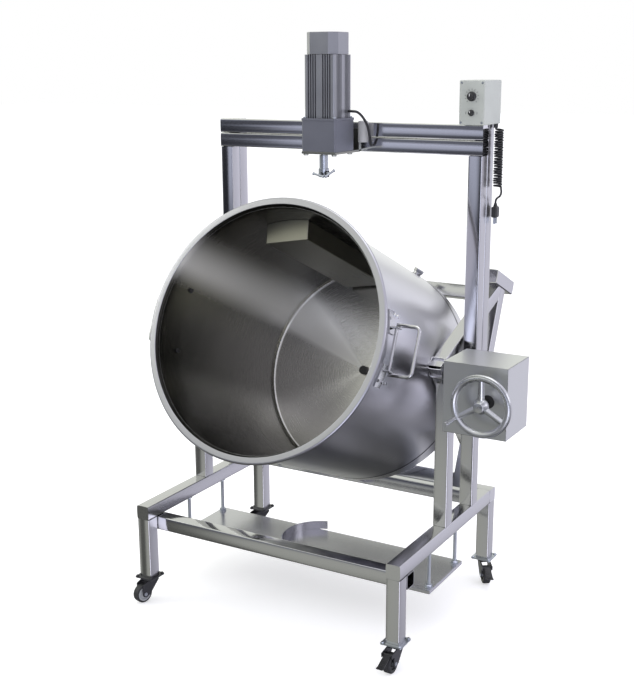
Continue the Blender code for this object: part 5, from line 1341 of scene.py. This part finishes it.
def make_capacitor():
    """The run capacitor and the motor's cable."""
    start, end = corners("capacitor")
    x, y, _ = (start + end) / 2
    radius = (end.x - start.x) / 2
    profile = ((0.0, end.z), (radius * 0.80, end.z), (radius * 0.97, end.z - 0.002), (radius, end.z - 0.005),
               (radius, start.z), (0.0, start.z))
    Piece(turned_shape(profile, 40), place=moved_by(x, y, 0)).stand_for("capacitor", GREY_PLASTIC)
    edge = Vector((MIDDLE.x, low("beam").y, low("beam").z))
    route = smooth_route([edge + Vector(point) for point in MOTOR_CABLE_ROUTE], 8)
    Piece(rod_shape(route, CABLE_RADIUS)).stand_for("motor_cable", CORD_RUBBER)


# Control box

GLAND_AT = (0.3965, 0.195)
DIAL_MARKS = 11
DIAL_STEP = 27
DIAL_REACH = 0.01675
MARK_DEPTHS = (-0.0003, 0.0002)
SWITCH_MARKS = 0.0144
BOX_SCREWS_IN = 0.006
# Joint, body, node, radius and length of each knob
KNOBS = (("speed_turn", "speed_control", "speed_knob", 0.0115, 0.016),
         ("switch_turn", "run_switch", "switch_knob", 0.0075, 0.012))


def mark_shape(half_x, half_z):
    """A thin mark on the front of the box, round its own middle."""
    back, front = MARK_DEPTHS
    return cube_shape((-half_x, back, -half_z), (half_x, front, half_z))


def make_control_box():
    """The box with its printed dial, knobs, screws and the gland of the cord."""
    start, end = corners("control_box")
    knob = joint_place("speed_turn")
    switch = joint_place("switch_turn")
    front = knob.y
    bottom = high("beam").z + GAP
    Piece(cube_shape((start.x, front, bottom), end, edge=0.003, steps=4)).stand_for("control_box", BOX_PAINT)
    gland_x, gland_y = GLAND_AT
    gland = post_shape(MIDDLE.x + gland_x, MIDDLE.y + gland_y, bottom - 0.010, bottom, 0.0058, sides=12,
                       edge=0.0006)
    Piece(gland).show("cord_gland", BLACK_PLASTIC)
    marks = Piece()
    for index in range(DIAL_MARKS):
        around = Matrix.Translation(knob) @ turned_by(DIAL_STEP * index - 225, "Y")
        marks.add(mark_shape(0.00175, 0.0004), place=around @ moved_by(DIAL_REACH, 0, 0))
    for x in (-SWITCH_MARKS, SWITCH_MARKS):
        marks.add(mark_shape(0.0005, 0.0030), place=Matrix.Translation(switch) @ moved_by(x, 0, 0))
    marks.show("dial_marks", PRINT)
    screws = Piece()
    for x in (start.x + BOX_SCREWS_IN, end.x - BOX_SCREWS_IN):
        for z in (bottom + BOX_SCREWS_IN, end.z - BOX_SCREWS_IN):
            screws.add(bar_shape((x, front - 0.0012, z), (x, front + 0.001, z), 0.0026, sides=20,
                                 edge=0.0004))
    screws.show("box_screws", ZINC)
    for joint, body, node, radius, length in KNOBS:
        place = Matrix.Translation(joint_place(joint)) @ turned_by(90, "X")
        profile = ((0.0, length), (radius * 0.55, length), (radius * 0.64, length - 0.001),
                   (radius * 0.72, length * 0.36), (radius * 0.97, length * 0.28), (radius, length * 0.22),
                   (radius, GAP), (0.0, GAP))
        Piece(turned_shape(profile, 48), place=place).stand_for(node, BLACK_PLASTIC, body, sharp=40)
        pointer = cube_shape((-0.0006, radius * 0.05, length - 0.0005),
                             (0.0006, radius * 0.60, length + 0.0004))
        Piece(pointer, place=place).show(node + "_pointer", WHITE_PRINT, body)


# Cord

CORD_RADIUS = 0.0025
COIL_TURNS = 23.5
COIL_STEPS = 20
COIL_END = CORD_RADIUS * 1.2
# How much the turns vary, and the radians of that swing in each turn
LOOSENESS = (0.10, 2.3)
UNEVENNESS = (0.0006, 1.7)
# From the lower end of the coil
CORD_TAIL_ROUTE = (
    (0.0, 0.0, 0.0), (0.0008, 0.0002, -0.0070), (0.0, 0.0008, -0.0140), (-0.0035, 0.0018, -0.0200),
    (-0.0085, 0.0030, -0.0235), (-0.0130, 0.0040, -0.0280), (-0.0150, 0.0045, -0.0340),
    (-0.0150, 0.0045, -0.0380),
)
PIN_LENGTH = 0.016


def make_cord():
    """The curly cord from its gland, wound as a helix, with its tail and plug."""
    coil_low, coil_high = corners("cord_coil")
    axis = (coil_low + coil_high) / 2
    radius = (coil_high.x - coil_low.x) / 2 - CORD_RADIUS
    exit_point = Vector((axis.x - radius, axis.y, coil_high.z))
    tail_start = Vector((axis.x + radius, axis.y, coil_low.z - GAP))
    tail = smooth_route([tail_start + Vector(point) for point in CORD_TAIL_ROUTE], 4)
    top = coil_high.z - COIL_END
    bottom = coil_low.z + COIL_END
    helix = []
    for index in range(int(COIL_TURNS * COIL_STEPS) + 1):
        share = index / (COIL_TURNS * COIL_STEPS)
        angle = math.pi - math.tau * COIL_TURNS * share
        loose = radius * (1.0 - LOOSENESS[0] * math.sin(LOOSENESS[1] * angle / math.tau) ** 2)
        uneven = UNEVENNESS[0] * math.sin(UNEVENNESS[1] * angle / math.tau)
        helix.append(Vector((axis.x + loose * math.cos(angle), axis.y + loose * math.sin(angle),
                             top + (bottom - top) * share + uneven)))
    points = [exit_point] + helix + tail
    curve = bpy.data.curves.new("curly_cord", "CURVE")
    curve.dimensions = "3D"
    curve.bevel_depth = CORD_RADIUS
    curve.bevel_resolution = 3
    curve.use_fill_caps = True
    spline = curve.splines.new("POLY")
    spline.points.add(len(points) - 1)
    for spot, point in zip(spline.points, points):
        spot.co = (*point, 1.0)
    cord = new_object("curly_cord", curve)
    curve.materials.append(CORD_RUBBER.material)
    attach(cord, "frame")
    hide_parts("cord_coil", "cord_tail")
    length = sum((after - before).length for before, after in zip(points, points[1:]))
    plug_piece, pins_piece = make_plug()


def make_plug():
    """The plug's body with its neck, and its two pins."""
    start, end = corners("cord_plug")
    x, y, _ = (start + end) / 2
    body_low = start.z + PIN_LENGTH
    body = cube_shape((start.x, start.y, body_low), (end.x, end.y, end.z - 0.008), edge=0.004, steps=4)
    neck = bar_shape((x, y, end.z - 0.010), (x, y, end.z), 0.0060, 0.0036, sides=24)
    plug = Piece(body, neck).stand_for("cord_plug", BLACK_PLASTIC)
    pins = Piece()
    for side in (-1, 1):
        pin_y = y + side * (end.y - start.y) / 4
        pins.add(cube_shape((x - 0.003, pin_y - 0.0008, start.z),
                            (x + 0.003, pin_y + 0.0008, body_low + 0.002), edge=0.0005))
    return plug, pins.show("plug_pins", ZINC)


def finish_plain_nodes():
    """Give the inner pieces that keep their own solids a finish."""
    for node, finish in (("worm_shaft", BRIGHT), ("worm_wheel", BRONZE), ("worm_bracket", IRON)):
        for slot in frame["nodes"][node].material_slots:
            slot.material = finish.material


# Studio

CAMERA_PLACE = Vector((1.4491, -2.4864, 1.4051))
CAMERA_TURN = 29.66
CAMERA_DROP = 13.90
CAMERA_ROLL = -0.118
PHOTO_HEIGHT = 694.0
FOCAL_PIXELS = 1131.0
SENSOR = 36.0
AXIS_RIGHT = 13.0
AXIS_UP = 2.0
FLOOR_SIZE = 30.0
FLOOR_GLOW = 0.50
LIGHT_AIM = Vector((0.0, 0.0, 0.7))
# Name, place, size, power and colour
LIGHTS = (
    ("key", (-3.4, -1.8, 2.6), 1.6, 26.0, (1.0, 1.0, 1.0)),
    ("top", (0.3, 0.2, 4.0), 3.0, 42.0, (0.96, 0.96, 1.0)),
    ("fill", (3.4, 0.6, 1.6), 1.2, 9.0, (0.93, 0.92, 1.0)),
)
GLOW_WAY = (0.53, -0.77, -0.335)
GLOW = 2.2
BEHIND_GLOW = 0.40


def make_camera():
    """The camera at the photograph's place."""
    data = bpy.data.cameras.new("camera")
    data.sensor_width = SENSOR
    data.lens = SENSOR * FOCAL_PIXELS / PHOTO_HEIGHT
    data.shift_x = -AXIS_RIGHT / PHOTO_HEIGHT
    data.shift_y = -AXIS_UP / PHOTO_HEIGHT
    camera = new_object("camera", data)
    turn = turned_by(CAMERA_TURN, "Z") @ turned_by(90.0 - CAMERA_DROP, "X") @ turned_by(CAMERA_ROLL, "Z")
    camera.matrix_world = Matrix.Translation(CAMERA_PLACE + MIDDLE) @ turn
    bpy.context.scene.camera = camera


def make_floor():
    """A wide pale floor that glows a little, and that the steel doesn't mirror."""
    bm = bmesh.new()
    bmesh.ops.create_grid(bm, x_segments=1, y_segments=1, size=FLOOR_SIZE)
    mesh = bpy.data.meshes.new("floor")
    bm.to_mesh(mesh)
    bm.free()
    floor = new_object("floor", mesh)
    floor.visible_glossy = False
    floor.visible_shadow = False
    material = bpy.data.materials.new("pale_floor")
    material.use_nodes = True
    sockets = {"Base Color": (0.80, 0.80, 0.80, 1.0), "Roughness": 0.8, "Specular IOR Level": 0.0,
               "Emission Color": (1.0, 1.0, 1.0, 1.0), "Emission Strength": FLOOR_GLOW}
    for name, value in sockets.items():
        material.node_tree.nodes["Principled BSDF"].inputs[name].default_value = value
    mesh.materials.append(material)


def make_lights():
    """Soft square lights, all aimed at the kettle."""
    for name, place, size, power, colour in LIGHTS:
        data = bpy.data.lights.new(name, "AREA")
        data.shape = "RECTANGLE"
        data.size = size
        data.size_y = size
        data.energy = power
        data.color = colour
        light = new_object(name, data)
        light.location = place
        light.rotation_euler = (LIGHT_AIM - Vector(place)).to_track_quat("-Z", "Y").to_euler()


def make_world():
    """White to the eye. In the reflections, a dim room with a bright ceiling and soft dark stretches."""
    world = bpy.data.worlds.new("studio")
    world.use_nodes = True
    bpy.context.scene.world = world
    world.node_tree.nodes.clear()
    room = Graph(world.node_tree)
    way = room.node("ShaderNodeTexCoord", output="Generated")
    sideways, ahead, up = room.split(way)
    bright = 0.10 + up.step(-0.80, -0.40) * 0.34 + up.step(-0.20, 0.05) * 0.40
    clear = room.noise(way, (3.1, 3.1, 1.3), 1.0).step(0.40, 0.52)
    bright = bright * (0.30 + (clear + up.step(0.0, 0.3)).clamped() * 0.85)
    ahead_dark = ahead.step(-0.35, -0.65) * up.within(-0.34, -0.22, 0.10, 0.30)
    streaks = room.noise(way, (2.6, 2.6, 9.0), 1.0).step(0.50, 0.62)
    bright = bright * (1.0 - ahead_dark * (0.80 - streaks * 0.75))
    glow = room.node("ShaderNodeVectorMath", {"operation": "DOT_PRODUCT"}, {0: way, 1: GLOW_WAY}, output=1)
    behind = ahead.step(0.35, 0.65) * up.within(-0.55, -0.35, 0.0, 0.2)
    bright = bright + glow.step(0.90, 0.97) * GLOW + behind * BEHIND_GLOW
    tint = room.mix(sideways.step(-0.5, 0.5), (0.98, 1.0, 0.93), (0.95, 0.94, 1.10))
    tint = room.mix(ahead_dark, tint, (0.86, 0.90, 1.12))
    walls = room.node("ShaderNodeBackground", None, {"Color": tint, "Strength": bright})
    seen = room.node("ShaderNodeBackground", None, {"Color": (1.0, 1.0, 1.0, 1.0), "Strength": 1.0})
    by_eye = room.node("ShaderNodeLightPath", output="Is Camera Ray")
    mixed = room.node("ShaderNodeMixShader", None, {0: by_eye, 1: walls, 2: seen})
    room.node("ShaderNodeOutputWorld", None, {"Surface": mixed}, output=None)


def make_studio():
    """Camera, floor, world and lights."""
    bpy.context.scene.view_settings.view_transform = "Standard"
    make_camera()
    make_floor()
    make_world()
    make_lights()


make_studio()
make_cord()
make_stand()
make_castors()
make_tray()
make_kettle()
make_cradle()
make_trunnions()
make_gear_cover()
make_handwheel()
make_gearmotor()
make_control_box()
finish_plain_nodes()
